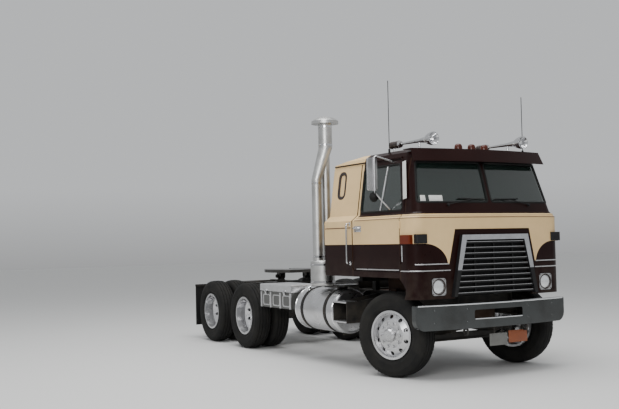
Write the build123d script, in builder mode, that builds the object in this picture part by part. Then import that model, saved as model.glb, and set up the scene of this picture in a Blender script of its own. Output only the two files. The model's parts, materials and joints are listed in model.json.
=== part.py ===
"""Cab-over tractor unit with a sleeper cab, three axles and a fifth wheel.

Millimetres. +X is forward, +Y is the tractor's left, +Z is up. The origin is
on the ground, under the middle of the whole vehicle.
"""
import os
from math import asin, cos, radians, sin, sqrt

from build123d import *

os.makedirs("parts", exist_ok=True)

# Main lengths along the vehicle, from the front axle
front_reach = 800.0
rear_reach = 6040.0
wheelbase = 4590.0
tandem_spacing = 1300.0

# Front axle's place in the vehicle's frame
front_axle_x = (rear_reach - front_reach) / 2
bogie_x = front_axle_x - wheelbase
drive_axle_xs = [bogie_x + tandem_spacing / 2, bogie_x - tandem_spacing / 2]

# Tyres and rims
tyre_radius = 520.0
tyre_width = 270.0
tread_width = 214.0
tyre_shoulder_drop = 14.0
rim_flange_radius = 300.0
rim_barrel_radius = 284.0
rim_wall = 12.0
rim_width = 226.0
disc_wall = 20.0
hand_hole_radius = 25.0
hand_hole_circle = 222.0
hand_hole_count = 10
hub_radius = 112.0
hub_cap_radius = 78.0
drum_radius = 206.0
drum_width = 170.0
axle_z = tyre_radius
spindle_radius = 35.0
drive_spindle_radius = 44.0
bearing_clearance = 0.1

# Track of the wheels: tyre centre planes out from the middle
front_tyre_y = 1020.0
kingpin_y = 860.0
dual_outer_y = 1075.0
dual_gap = 330.0

# Steering: the front wheels are parked turned to the left
steer_angle = 18.0
kingpin_radius = 24.0
kingpin_boss_radius = 48.0
kingpin_boss_height = 130.0
knuckle_gap = 3.0
knuckle_ear = 34.0

# Frame rails
rail_top_z = 990.0
rail_height = 265.0
rail_flange = 85.0
rail_wall = 9.0
frame_width = 860.0
rail_front = 680.0
rail_notch_front = 550.0
rail_nose_top_z = 895.0
rail_rear = 5990.0
crossmember_height = 120.0
crossmember_depth = 60.0
flap_width = 560.0
flap_height = 680.0
flap_top_z = 960.0
flap_behind = 5880.0
flap_wall = 10.0
bar_size = 40.0
rest_behind = 1300.0
rest_half = 640.0
rest_post_y = 390.0
rest_pad_y = 600.0
rest_pad_radius = 45.0
rest_beam_z = 1120.0
rest_beam_height = 70.0
crossmember_behind = [-470.0, 1880.0, 2900.0, 3420.0, 4590.0, 5960.0]

# Cab: sizes from the front axle and up from the ground
cab_front = 740.0
cab_rear = 1400.0
cab_half_width = 1175.0
cab_wall = 38.0
nose_bow = 80.0
corner_radius = 170.0
rear_corner_radius = 60.0
nose_bottom_z = 970.0
sill_z = 1220.0
arch_front = 500.0
belt_z = 1940.0
shoulder_z = 2010.0
shoulder_half_width = 1085.0
shoulder_front = 712.0
eaves_z = 2700.0
eaves_half_width = 985.0
eaves_front = 505.0
crown_z = 2795.0
crown_inset = 95.0
roof_slope_start = 760.0
roof_slope_drop = 88.0
upper_corner_radius = 120.0
roof_split_z = 2672.0
panel_gap = 6.0

# Cab hinge
cab_pivot_ahead = 620.0
cab_pivot_z = 1100.0
cab_pivot_radius = 24.0
bracket_wall = 22.0
bracket_y = 395.0
pivot_tube_half = 660.0
pivot_ear_y = 610.0
pivot_ear_wall = 24.0

# Engine tunnel, floor and bunk
floor_z = 1320.0
floor_wall = 40.0
tunnel_half_width = 540.0
tunnel_top_z = 1700.0
bunk_depth = 640.0
mattress_height = 130.0
trim_clearance = 1.0

# Glass
glass_wall = 6.0
windshield_sill_z = 2128.0
windshield_head_z = 2622.0
windshield_sill_half = 1035.0
windshield_head_half = 945.0
centre_post_half = 32.0
porthole_x = 1115.0
porthole_z = 2425.0
porthole_width = 150.0
porthole_height = 320.0

# Doors, from the front axle
door_front = 400.0
door_rear = 650.0
door_rear_gap = 14.0
door_bottom_z = 1300.0
door_head_front = 262.0
door_corner = 55.0
door_window_sill_z = 2045.0
door_window_head_z = 2610.0
door_window_front_low = 330.0
door_window_front_high = 205.0
door_window_rear = 590.0

# Grille
grille_bottom_z = 990.0
grille_top_z = 1665.0
grille_bottom_half = 618.0
grille_top_half = 458.0
surround_border = 62.0
surround_depth = 55.0
surround_proud = 36.0
bar_count = 10
bar_height = 26.0
bar_depth = 40.0

# Bumper
bumper_top_z = 906.0
bumper_height = 300.0
bumper_half_width = 1180.0
bumper_bow = 110.0
bumper_depth = 72.0
bumper_wall = 8.0
bumper_low_corner = 120.0
bumper_high_corner = 25.0
bumper_slot_width = 760.0
bumper_slot_height = 110.0
bumper_slot_z = 770.0

# Fuel tanks
tank_radius = 300.0
tank_y = 880.0
tank_z = 725.0
tank_front = 1175.0
tank_length = 1090.0
tank_end_round = 40.0
strap_width = 55.0
strap_wall = 6.0
strap_inset = 230.0
cradle_wall = 20.0

# Cab steps ahead of the tanks and on top of them
step_inner_y = 990.0
step_outer_y = 1180.0
step_depth = 345.0
step_plate = 10.0
step_wall = 22.0
step_zs = [600.0, 860.0]
top_step_z = 1060.0

# Battery box
box_front = 2350.0
box_length = 1000.0
box_outer_y = 1180.0
box_inner_y = 640.0
box_bottom_z = 700.0
box_top_z = 1050.0
box_lid_height = 105.0
box_lid_gap = 14.0
box_rib_count = 4

# Intake stack
stack_x = 1700.0
stack_y = 930.0
stack_top_z = 3450.0
stack_radius = 98.0
stack_bend_z = 3000.0
stack_branch_y = 1085.0
stack_branch_radius = 72.0
stack_branch_z = 2550.0
stack_foot_z = 1420.0
cap_radius = 192.0
stack_inner_radius = 58.0
cleaner_radius = 170.0
cleaner_foot_z = 1062.0

# Fifth wheel
plate_ahead_of_bogie = 180.0
plate_top_z = 1220.0
plate_length = 950.0
plate_width = 910.0
plate_wall = 48.0
plate_pivot_z = 1110.0
plate_pivot_radius = 30.0
kingpin_bore_radius = 25.9
throat_half_width = 180.0


def fore(distance):
    """X of a place this far ahead of the front axle."""
    return front_axle_x + distance


def aft(distance):
    """X of a place this far behind the front axle."""
    return front_axle_x - distance


def finish(builder, label):
    """Names a finished piece and writes it."""
    builder.part.label = label
    export_step(builder.part, f"parts/{label}.step")


# Wheels

def wheel_axis_frame(x, y, side, turn=0.0):
    """Plane whose normal points out along a wheel's axle. side is 1 on the left and -1 on the right."""
    out = Vector(0, side, 0).rotate(Axis.Z, turn)
    return Plane(origin=(x, y, axle_z), x_dir=(0, 0, 1), z_dir=out)


def kingpin_frame(side):
    """Plane at a kingpin's centre, turned with the parked wheels."""
    forward = Vector(1, 0, 0).rotate(Axis.Z, steer_angle)
    return Plane(origin=(front_axle_x, side * kingpin_y, 0), x_dir=forward, z_dir=(0, 0, 1))


def front_wheel_frame(side):
    """Wheel plane of a parked front wheel: out from its kingpin along the turned axle."""
    pin = Vector(front_axle_x, side * kingpin_y, axle_z)
    out = Vector(0, side, 0).rotate(Axis.Z, steer_angle)
    centre = pin + out * (front_tyre_y - kingpin_y)
    return wheel_axis_frame(centre.X, centre.Y, side, steer_angle)


def profile_plane(frame):
    """Plane through a wheel's axle: its X is the radius and its Y runs out along the axle."""
    return Plane(origin=frame.origin, x_dir=frame.x_dir, z_dir=frame.x_dir.cross(frame.z_dir))


def tyre_section(offset):
    """Section of one tyre, its middle this far along the axle."""
    half = tyre_width / 2
    tread = tread_width / 2
    shoulder = tyre_radius - tyre_shoulder_drop
    bulge = rim_flange_radius + 0.45 * (tyre_radius - rim_flange_radius)
    bead = rim_width / 2 - 16
    bead_top = rim_flange_radius + 2
    with BuildLine() as outline:
        a = ThreePointArc(
            (shoulder, offset + tread), (tyre_radius, offset), (shoulder, offset - tread)
        )
        b = ThreePointArc(a @ 1, (bulge, offset - half), (bead_top, offset - bead))
        c = Polyline(
            b @ 1, (rim_barrel_radius, offset - bead), (rim_barrel_radius, offset + bead),
            (bead_top, offset + bead),
        )
        ThreePointArc(c @ 1, (bulge, offset + half), a @ 0)
    make_face(outline.edges())


def make_tyres(frame, offsets, label):
    """One tyre, or a twin pair, round one axle."""
    with BuildPart() as tyres:
        with BuildSketch(profile_plane(frame)):
            for offset in offsets:
                tyre_section(offset)
        revolve(axis=Axis(frame.origin, frame.z_dir))
    finish(tyres, label)


def rim_section(offset, disc_points):
    """Section of one rim at an offset: a barrel with two flanges, and a dished disc."""
    half = rim_width / 2
    inner = rim_barrel_radius - rim_wall
    with BuildLine() as barrel:
        Polyline(
            (inner, offset - half),
            (rim_flange_radius, offset - half),
            (rim_flange_radius, offset - half + 12),
            (rim_barrel_radius, offset - half + 14),
            (rim_barrel_radius, offset + half - 14),
            (rim_flange_radius, offset + half - 12),
            (rim_flange_radius, offset + half),
            (inner, offset + half),
            close=True,
        )
    make_face(barrel.edges())
    with BuildLine() as disc:
        Polyline(*[(r, offset + a) for r, a in disc_points], close=True)
    make_face(disc.edges())


def make_front_rim(frame, label):
    """Front rim: the disc stands out past the barrel, with the hub and the brake drum behind it."""
    face = rim_width / 2 - 6
    axis = Axis(frame.origin, frame.z_dir)
    inner = rim_barrel_radius - rim_wall / 2
    step = face - 42
    disc = [
        (inner, step - 30), (inner, step), (hand_hole_circle + 30, step + 4),
        (hand_hole_circle - 40, face), (hub_radius - 20, face), (hub_radius - 20, face - disc_wall),
        (hand_hole_circle - 44, face - disc_wall), (hand_hole_circle + 26, step - 18),
    ]
    bore = spindle_radius + bearing_clearance
    drum_in = face - disc_wall - drum_width
    with BuildPart() as rim:
        with BuildSketch(profile_plane(frame)):
            rim_section(0, disc)
            with BuildLine():
                Polyline(
                    (0, face + 62), (hub_cap_radius - 16, face + 62), (hub_cap_radius, face + 46),
                    (hub_cap_radius + 4, face + 6), (hub_radius, face - 2),
                    (hub_radius, face - disc_wall - 20), (drum_radius - 22, face - disc_wall - 22),
                    (drum_radius, face - disc_wall - 34), (drum_radius, drum_in),
                    (drum_radius - 16, drum_in), (drum_radius - 16, face - disc_wall - 44),
                    (bore + 22, face - disc_wall - 46), (bore + 22, drum_in + 30),
                    (bore, drum_in + 30), (bore, face + 20), (0, face + 20), close=True,
                )
            make_face()
        revolve(axis=axis)
        with BuildSketch(frame.offset(step - 60)):
            with PolarLocations(hand_hole_circle, hand_hole_count):
                Circle(hand_hole_radius)
        extrude(amount=140, mode=Mode.SUBTRACT)
    finish(rim, label)


def make_dual_rims(frame, label):
    """Twin rims back to back on one hub, with the brake drum inside the inner one."""
    axis = Axis(frame.origin, frame.z_dir)
    inner = rim_barrel_radius - rim_wall / 2
    middle = -dual_gap / 2
    reach = dual_gap / 2 - disc_wall
    outer_disc = [
        (inner, -62), (inner, -30), (hand_hole_circle + 30, -58), (hand_hole_circle - 40, -reach),
        (hub_radius - 20, -reach), (hub_radius - 20, -reach - disc_wall),
        (hand_hole_circle - 44, -reach - disc_wall), (hand_hole_circle + 26, -78),
    ]
    inner_disc = [(r, -a) for r, a in outer_disc]
    drum_out = middle - disc_wall - 8
    drum_in = drum_out - drum_width
    bore = drive_spindle_radius + bearing_clearance
    cap = -40
    with BuildPart() as rims:
        with BuildSketch(profile_plane(frame)):
            rim_section(0, outer_disc)
            rim_section(-dual_gap, inner_disc)
            with BuildLine():
                Polyline(
                    (0, cap), (hub_cap_radius, cap), (hub_cap_radius + 26, cap - 10),
                    (hub_cap_radius + 26, cap - 30), (hub_cap_radius, cap - 34),
                    (hub_cap_radius + 8, middle + disc_wall + 24), (hub_radius, middle + disc_wall + 2),
                    (hub_radius, drum_out), (drum_radius - 22, drum_out - 2),
                    (drum_radius, drum_out - 14), (drum_radius, drum_in), (drum_radius - 16, drum_in),
                    (drum_radius - 16, drum_out - 24), (bore + 26, drum_out - 26),
                    (bore + 26, drum_in + 20), (bore, drum_in + 20), (bore, cap - 60), (0, cap - 60),
                    close=True,
                )
            make_face()
        revolve(axis=axis)
        with BuildSketch(frame.offset(-dual_gap - 130)):
            with PolarLocations(hand_hole_circle, hand_hole_count):
                Circle(hand_hole_radius)
        extrude(amount=dual_gap + 120, mode=Mode.SUBTRACT)
    finish(rims, label)


sides = [("right", -1), ("left", 1)]
axle_names = ["fore", "rear"]

for name, side in sides:
    frame = front_wheel_frame(side)
    make_tyres(frame, [0], f"front_tyre_{name}")
    make_front_rim(frame, f"front_rim_{name}")

for axle_name, axle_x in zip(axle_names, drive_axle_xs):
    for name, side in sides:
        frame = wheel_axis_frame(axle_x, side * dual_outer_y, side)
        make_tyres(frame, [0, -dual_gap], f"{axle_name}_tyres_{name}")
        make_dual_rims(frame, f"{axle_name}_rims_{name}")


# Steering knuckles: a pin through the axle's boss, two ears, and the spindle

def make_knuckle(side, label):
    turned = kingpin_frame(side)
    wheel = front_wheel_frame(side)
    boss_low = axle_z - kingpin_boss_height / 2
    boss_high = axle_z + kingpin_boss_height / 2
    web_near = kingpin_boss_radius + 5
    spindle_start = front_tyre_y - kingpin_y
    face = rim_width / 2 - 6
    with BuildPart() as knuckle:
        with BuildSketch(turned.offset(boss_low - knuckle_gap - knuckle_ear)):
            Circle(kingpin_radius)
        extrude(amount=kingpin_boss_height + 2 * (knuckle_gap + knuckle_ear))
        for base in (boss_low - knuckle_gap - knuckle_ear, boss_high + knuckle_gap):
            with BuildSketch(turned.offset(base)):
                Circle(kingpin_boss_radius)
                with Locations((0, side * (web_near + 12) / 2)):
                    Rectangle(2 * kingpin_boss_radius, web_near + 12)
            extrude(amount=knuckle_ear)
        with BuildSketch(turned.offset(boss_low - knuckle_gap - knuckle_ear)):
            with Locations((0, side * (web_near + 10))):
                Rectangle(2 * kingpin_boss_radius, 20)
        extrude(amount=kingpin_boss_height + 2 * (knuckle_gap + knuckle_ear))
        with BuildSketch(wheel.offset(web_near - spindle_start)):
            Circle(spindle_radius)
        extrude(amount=spindle_start - web_near + face - 2)
    finish(knuckle, label)


for name, side in sides:
    make_knuckle(side, f"knuckle_{name}")

# Front axle beam: dropped in the middle, with a boss at each kingpin
beam_drop = 90.0
beam_height = 96.0
beam_width = 90.0
beam_flange = 16.0
beam_web = 24.0
beam_flat_half = 540.0
beam_rise_half = 740.0
spring_y = 430.0

with BuildPart() as front_axle:
    low = axle_z - beam_drop - beam_height / 2
    high = axle_z - beam_height / 2
    end = kingpin_y - 20
    with BuildSketch(Plane.YZ.offset(front_axle_x - beam_width / 2)):
        with BuildLine():
            Polyline(
                (-end, high), (-beam_rise_half, high), (-beam_flat_half, low), (beam_flat_half, low),
                (beam_rise_half, high), (end, high), (end, high + beam_height),
                (beam_rise_half, high + beam_height), (beam_flat_half, low + beam_height),
                (-beam_flat_half, low + beam_height), (-beam_rise_half, high + beam_height),
                (-end, high + beam_height), close=True,
            )
        make_face()
    extrude(amount=beam_width)
    for face_side in (-1, 1):
        start = front_axle_x + face_side * beam_width / 2
        with BuildSketch(Plane.YZ.offset(start)):
            with BuildLine():
                Polyline(
                    (-beam_rise_half, high + beam_flange), (-beam_flat_half, low + beam_flange),
                    (beam_flat_half, low + beam_flange), (beam_rise_half, high + beam_flange),
                    (beam_rise_half, high + beam_height - beam_flange),
                    (beam_flat_half, low + beam_height - beam_flange),
                    (-beam_flat_half, low + beam_height - beam_flange),
                    (-beam_rise_half, high + beam_height - beam_flange), close=True,
                )
            make_face()
        extrude(amount=-face_side * (beam_width - beam_web) / 2, mode=Mode.SUBTRACT)
    with BuildSketch(Plane.XY.offset(axle_z - kingpin_boss_height / 2)):
        for side in (-1, 1):
            with Locations((front_axle_x, side * kingpin_y)):
                Circle(kingpin_boss_radius)
    extrude(amount=kingpin_boss_height)
    with BuildSketch(Plane.XY.offset(axle_z - kingpin_boss_height / 2)):
        for side in (-1, 1):
            with Locations((front_axle_x, side * kingpin_y)):
                Circle(kingpin_radius + bearing_clearance)
    extrude(amount=kingpin_boss_height, mode=Mode.SUBTRACT)
finish(front_axle, "front_axle_beam")

# Frame rails, with their crossmembers, the cab hinge brackets, the cab rest and the mud flap bars
with BuildPart() as frame_rails:
    rail_low = rail_top_z - rail_height
    half = frame_width / 2
    with BuildSketch(Plane.YZ.offset(aft(rail_rear))):
        for side in (-1, 1):
            with BuildLine():
                Polyline(
                    (side * half, rail_low), (side * half, rail_top_z),
                    (side * (half - rail_flange), rail_top_z),
                    (side * (half - rail_flange), rail_top_z - rail_wall),
                    (side * (half - rail_wall), rail_top_z - rail_wall),
                    (side * (half - rail_wall), rail_low + rail_wall),
                    (side * (half - rail_flange), rail_low + rail_wall),
                    (side * (half - rail_flange), rail_low), close=True,
                )
            make_face()
    extrude(amount=rail_rear + rail_front)
    with BuildSketch(Plane.XY.offset(rail_nose_top_z)):
        with Locations((fore((rail_notch_front + rail_front) / 2), 0)):
            Rectangle(rail_front - rail_notch_front, frame_width)
    extrude(amount=rail_top_z - rail_nose_top_z, mode=Mode.SUBTRACT)
    for behind in crossmember_behind:
        with BuildSketch(Plane.XY.offset(rail_top_z - rail_wall - crossmember_height)):
            with Locations((aft(behind), 0)):
                Rectangle(crossmember_depth, frame_width - rail_wall)
        extrude(amount=crossmember_height)
    for side in (-1, 1):
        start = side * (bracket_y - bracket_wall / 2)
        with BuildSketch(Plane.XZ.offset(-start)):
            with BuildLine():
                Polyline(
                    (fore(rail_notch_front - 30), rail_top_z), (fore(rail_notch_front), rail_top_z),
                    (fore(cab_pivot_ahead + 27), cab_pivot_z - 35), (fore(cab_pivot_ahead - 39), cab_pivot_z + 20),
                    close=True,
                )
            make_face()
            with Locations((fore(cab_pivot_ahead), cab_pivot_z)):
                Circle(44)
        extrude(amount=-side * bracket_wall)
    with BuildSketch(Plane.XZ.offset(-pivot_tube_half)):
        with Locations((fore(cab_pivot_ahead), cab_pivot_z)):
            Circle(cab_pivot_radius)
    extrude(amount=2 * pivot_tube_half)
    for side in (-1, 1):
        with BuildSketch(Plane.XZ.offset(-side * frame_width / 2)):
            with Locations((aft(flap_behind), flap_top_z - bar_size / 2)):
                Rectangle(bar_size, bar_size)
        extrude(amount=-side * (dual_outer_y + tyre_width / 2 - frame_width / 2))
    with BuildSketch(Plane.XY.offset(rail_top_z)):
        with Locations((aft(rest_behind), rest_post_y), (aft(rest_behind), -rest_post_y)):
            Rectangle(80, 70)
    extrude(amount=rest_beam_z - rail_top_z)
    with BuildSketch(Plane.XY.offset(rest_beam_z)):
        with Locations((aft(rest_behind), 0)):
            Rectangle(80, 2 * rest_half)
    extrude(amount=rest_beam_height)
    with BuildSketch(Plane.XY.offset(rest_beam_z + rest_beam_height)):
        with Locations((aft(rest_behind), rest_pad_y), (aft(rest_behind), -rest_pad_y)):
            Circle(rest_pad_radius)
    extrude(amount=floor_z - floor_wall - rest_beam_z - rest_beam_height)
finish(frame_rails, "frame_rails")

# Leaf springs: packs of arched leaves, each leaf shorter than the one above
leaf_wall = 15.0
leaf_width = 76.0
front_leaf_halves = [280.0, 400.0, 520.0, 640.0]
front_leaf_camber = 90.0
rear_leaf_halves = [200.0, 290.0, 380.0, 470.0, 560.0]
rear_leaf_camber = 70.0
rear_spring_y = (frame_width + leaf_width) / 2
spring_eye_radius = 26.0
walking_beam_z = 470.0
walking_beam_height = 110.0
walking_beam_width = 80.0


def leaf_face(middle_x, centre_z, radius, half):
    """Face of one leaf seen from the side, its underside at this radius."""
    reach = asin(half / radius)
    inner = radius - leaf_wall
    with BuildLine() as outline:
        under = ThreePointArc(
            (middle_x - radius * sin(reach), centre_z - radius * cos(reach)),
            (middle_x, centre_z - radius),
            (middle_x + radius * sin(reach), centre_z - radius * cos(reach)),
        )
        over = ThreePointArc(
            (middle_x - inner * sin(reach), centre_z - inner * cos(reach)),
            (middle_x, centre_z - inner),
            (middle_x + inner * sin(reach), centre_z - inner * cos(reach)),
        )
        Line(under @ 0, over @ 0)
        Line(under @ 1, over @ 1)
    make_face(outline.edges())


front_seat_z = axle_z - beam_drop + beam_height / 2
rear_seat_z = 610.0
spring_packs = [
    # middle x, y, seat z, leaf halves, camber, hanger top z
    (front_axle_x, spring_y - 40, front_seat_z, front_leaf_halves, front_leaf_camber, rail_low),
    (bogie_x, rear_spring_y, rear_seat_z, rear_leaf_halves, rear_leaf_camber, rail_top_z - 90),
]

with BuildPart() as leaf_springs:
    for middle_x, out_y, seat_z, halves, camber, hanger_top in spring_packs:
        full = halves[-1]
        bend_radius = (full ** 2 + camber ** 2) / (2 * camber)
        for side in (-1, 1):
            near = side * out_y - leaf_width / 2
            for index, half in enumerate(halves):
                with BuildSketch(Plane.XZ.offset(-near)):
                    leaf_face(middle_x, seat_z + bend_radius, bend_radius - index * leaf_wall, half)
                extrude(amount=-leaf_width)
            eye_z = seat_z + camber + (len(halves) - 0.5) * leaf_wall
            for end in (-1, 1):
                eye_x = middle_x + end * (full - 8)
                with BuildSketch(Plane.XZ.offset(-near)):
                    with Locations((eye_x, eye_z)):
                        Circle(spring_eye_radius)
                    with Locations((eye_x, (eye_z + hanger_top) / 2)):
                        Rectangle(40, hanger_top - eye_z)
                extrude(amount=-leaf_width)
finish(leaf_springs, "leaf_springs")

# Walking beams: each joins the two drive axles under its spring and carries the spring's saddle
with BuildPart() as walking_beams:
    for side in (-1, 1):
        near = side * rear_spring_y - walking_beam_width / 2
        low = walking_beam_z - walking_beam_height / 2
        with BuildSketch(Plane.XZ.offset(-near)):
            with BuildLine():
                Polyline(
                    (drive_axle_xs[1] - 70, axle_z - 125), (drive_axle_xs[1] + 70, axle_z - 125),
                    (bogie_x, low), (drive_axle_xs[0] - 70, axle_z - 125), (drive_axle_xs[0] + 70, axle_z - 125),
                    (drive_axle_xs[0] + 70, axle_z - 65), (drive_axle_xs[0] - 70, axle_z - 65),
                    (bogie_x + 90, rear_seat_z - 30), (bogie_x + 90, rear_seat_z), (bogie_x - 90, rear_seat_z),
                    (bogie_x - 90, rear_seat_z - 30), (drive_axle_xs[1] + 70, axle_z - 65),
                    (drive_axle_xs[1] - 70, axle_z - 65), close=True,
                )
            make_face()
        extrude(amount=-walking_beam_width)
finish(walking_beams, "walking_beams")

# Drive axles: a box housing with a round bowl, its spindles, and the shafts between
housing_half_width = 610.0
housing_size = 130.0
bowl_radius = 215.0
bowl_half_width = 95.0
pinion_length = 330.0
shaft_radius = 50.0
gearbox_back = 1780.0
gearbox_shaft_z = 790.0

with BuildPart() as drive_axles:
    for axle_x in drive_axle_xs:
        with BuildSketch(Plane.XZ.offset(-housing_half_width)):
            with Locations((axle_x, axle_z)):
                RectangleRounded(housing_size, housing_size, 28)
        extrude(amount=2 * housing_half_width)
        with BuildSketch(Plane.XZ.offset(-(dual_outer_y - 110))):
            with Locations((axle_x, axle_z)):
                Circle(drive_spindle_radius)
        extrude(amount=2 * (dual_outer_y - 110))
        with BuildSketch(Plane.XZ.offset(-bowl_half_width)):
            with Locations((axle_x, axle_z)):
                Circle(bowl_radius)
        extrude(amount=2 * bowl_half_width)
        with BuildSketch(Plane.YZ.offset(axle_x)):
            with Locations((0, axle_z + 60)):
                Circle(105)
        extrude(amount=pinion_length, taper=5)
    fillet(drive_axles.edges().filter_by(GeomType.CIRCLE).filter_by(lambda e: abs(e.radius - bowl_radius) < 1), 45)
    pinion_z = axle_z + 60
    with BuildSketch(Plane.YZ.offset(aft(gearbox_back))):
        with Locations((0, gearbox_shaft_z)):
            Circle(shaft_radius + 12)
    extrude(amount=-70)
    start = Vector(aft(gearbox_back + 50), 0, gearbox_shaft_z)
    end = Vector(drive_axle_xs[0] + pinion_length - 5, 0, pinion_z)
    run = end - start
    with BuildSketch(Plane(origin=start, z_dir=run)):
        Circle(shaft_radius)
    extrude(amount=run.length)
    with BuildSketch(Plane.YZ.offset(drive_axle_xs[1] + pinion_length - 5)):
        with Locations((0, pinion_z)):
            Circle(shaft_radius)
    extrude(amount=tandem_spacing - pinion_length)
finish(drive_axles, "drive_axles")

# Engine and gearbox, one plain block, hung from the rails
engine_front = -330.0
engine_back = 1080.0
engine_half_width = 330.0
engine_low_z = 600.0
engine_top_z = 1480.0

with BuildPart() as engine_block:
    with BuildSketch(Plane.XY.offset(engine_low_z)):
        with Locations((aft((engine_front + engine_back) / 2), 0)):
            Rectangle(engine_back - engine_front, 2 * engine_half_width)
    extrude(amount=engine_top_z - engine_low_z)
    with BuildSketch(Plane.YZ.offset(aft(gearbox_back))):
        with Locations((0, gearbox_shaft_z)):
            RectangleRounded(430, 340, 60)
    extrude(amount=gearbox_back - engine_back)
    for behind in (-100, 850):
        for side in (-1, 1):
            with BuildSketch(Plane.XY.offset(rail_top_z)):
                with Locations((aft(behind), side * (engine_half_width + 40))):
                    Rectangle(120, 90)
            extrude(amount=26)
finish(engine_block, "engine_block")

# Radiator standing on the front crossmember
radiator_half_width = 440.0
radiator_depth = 90.0
radiator_top_z = 1600.0
radiator_tank_height = 90.0

with BuildPart() as radiator:
    core_x = aft(crossmember_behind[0])
    with BuildSketch(Plane.XY.offset(rail_top_z)):
        with Locations((core_x, 0)):
            Rectangle(radiator_depth, 2 * radiator_half_width)
    extrude(amount=radiator_top_z - rail_top_z)
    fillet(radiator.edges().filter_by(Axis.X).group_by(Axis.Z)[-1], 40)
    with BuildSketch(Plane.YZ.offset(core_x + radiator_depth / 2)):
        with Locations((0, (rail_top_z + radiator_top_z) / 2)):
            Rectangle(2 * radiator_half_width - 80, radiator_top_z - rail_top_z - 2 * radiator_tank_height)
    extrude(amount=-15, mode=Mode.SUBTRACT)
finish(radiator, "radiator")


# Bumper: a bowed channel with rounded lower corners and a step slot in the middle

def bow_band(front_x, bow, half_width, depth, straight_back):
    """Plan of a bowed bar, its front face an arc from side to side."""
    with BuildLine() as plan:
        front = ThreePointArc((front_x - bow, -half_width), (front_x, 0), (front_x - bow, half_width))
        if straight_back:
            Polyline(front @ 1, (front_x - bow - depth, half_width), (front_x - bow - depth, -half_width), front @ 0)
        else:
            back = ThreePointArc(
                (front_x - bow - depth, -half_width), (front_x - depth, 0), (front_x - bow - depth, half_width)
            )
            Line(front @ 0, back @ 0)
            Line(front @ 1, back @ 1)
    make_face(plan.edges())


bumper_low_z = bumper_top_z - bumper_height
bumper_middle_z = bumper_top_z - bumper_height / 2
bumper_band_half = bumper_half_width + 60
bumper_band_bow = bumper_bow * (bumper_band_half / bumper_half_width) ** 2


def bumper_outline(inset):
    """Front view of the bumper: small upper corners, large lower ones."""
    half = bumper_half_width - inset
    with BuildLine() as outline:
        FilletPolyline(
            (half, bumper_top_z - inset), (half, bumper_low_z + inset),
            (-half, bumper_low_z + inset), (-half, bumper_top_z - inset),
            radius=[bumper_high_corner, bumper_low_corner - inset, bumper_low_corner - inset, bumper_high_corner],
            close=True,
        )
    make_face(outline.edges())


with BuildPart() as bumper_hollow:
    with BuildSketch(Plane.XY.offset(bumper_low_z)):
        bow_band(fore(front_reach - bumper_wall), bumper_band_bow, bumper_band_half, bumper_depth, False)
    extrude(amount=bumper_height)
    with BuildSketch(Plane.YZ.offset(fore(0))):
        bumper_outline(bumper_wall)
    extrude(amount=2 * front_reach, mode=Mode.INTERSECT)

with BuildPart() as front_bumper:
    with BuildSketch(Plane.XY.offset(bumper_low_z)):
        bow_band(fore(front_reach), bumper_band_bow, bumper_band_half, bumper_depth, False)
    extrude(amount=bumper_height)
    with BuildSketch(Plane.YZ.offset(fore(0))):
        bumper_outline(0)
    extrude(amount=2 * front_reach, mode=Mode.INTERSECT)
    add(bumper_hollow.part, mode=Mode.SUBTRACT)
    with BuildSketch(Plane.YZ.offset(fore(0))):
        with Locations((0, bumper_slot_z)):
            RectangleRounded(bumper_slot_width, bumper_slot_height, 24)
    extrude(amount=2 * front_reach, mode=Mode.SUBTRACT)
    stub_back = fore(rail_front)
    stub_y = frame_width / 2 - 18
    stub_front = fore(front_reach - bumper_wall - 6 - bumper_bow * (stub_y / bumper_half_width) ** 2)
    for side in (-1, 1):
        with BuildSketch(Plane.XY.offset(bumper_low_z + bumper_wall)):
            with Locations(((stub_back + stub_front) / 2, side * stub_y)):
                Rectangle(stub_front - stub_back, 36)
        extrude(amount=bumper_height - 2 * bumper_wall)
finish(front_bumper, "front_bumper")

# Fuel tanks: one round tank each side, with its straps, the cradles that hang it, and the cab steps
strap_xs = [aft(tank_front + strap_inset), aft(tank_front + tank_length - strap_inset)]

with BuildPart() as fuel_tanks:
    for side in (-1, 1):
        with BuildSketch(Plane.YZ.offset(aft(tank_front + tank_length))):
            with Locations((side * tank_y, tank_z)):
                Circle(tank_radius)
        extrude(amount=tank_length)
    fillet(fuel_tanks.edges().filter_by(GeomType.CIRCLE), tank_end_round)
finish(fuel_tanks, "fuel_tanks")

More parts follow.
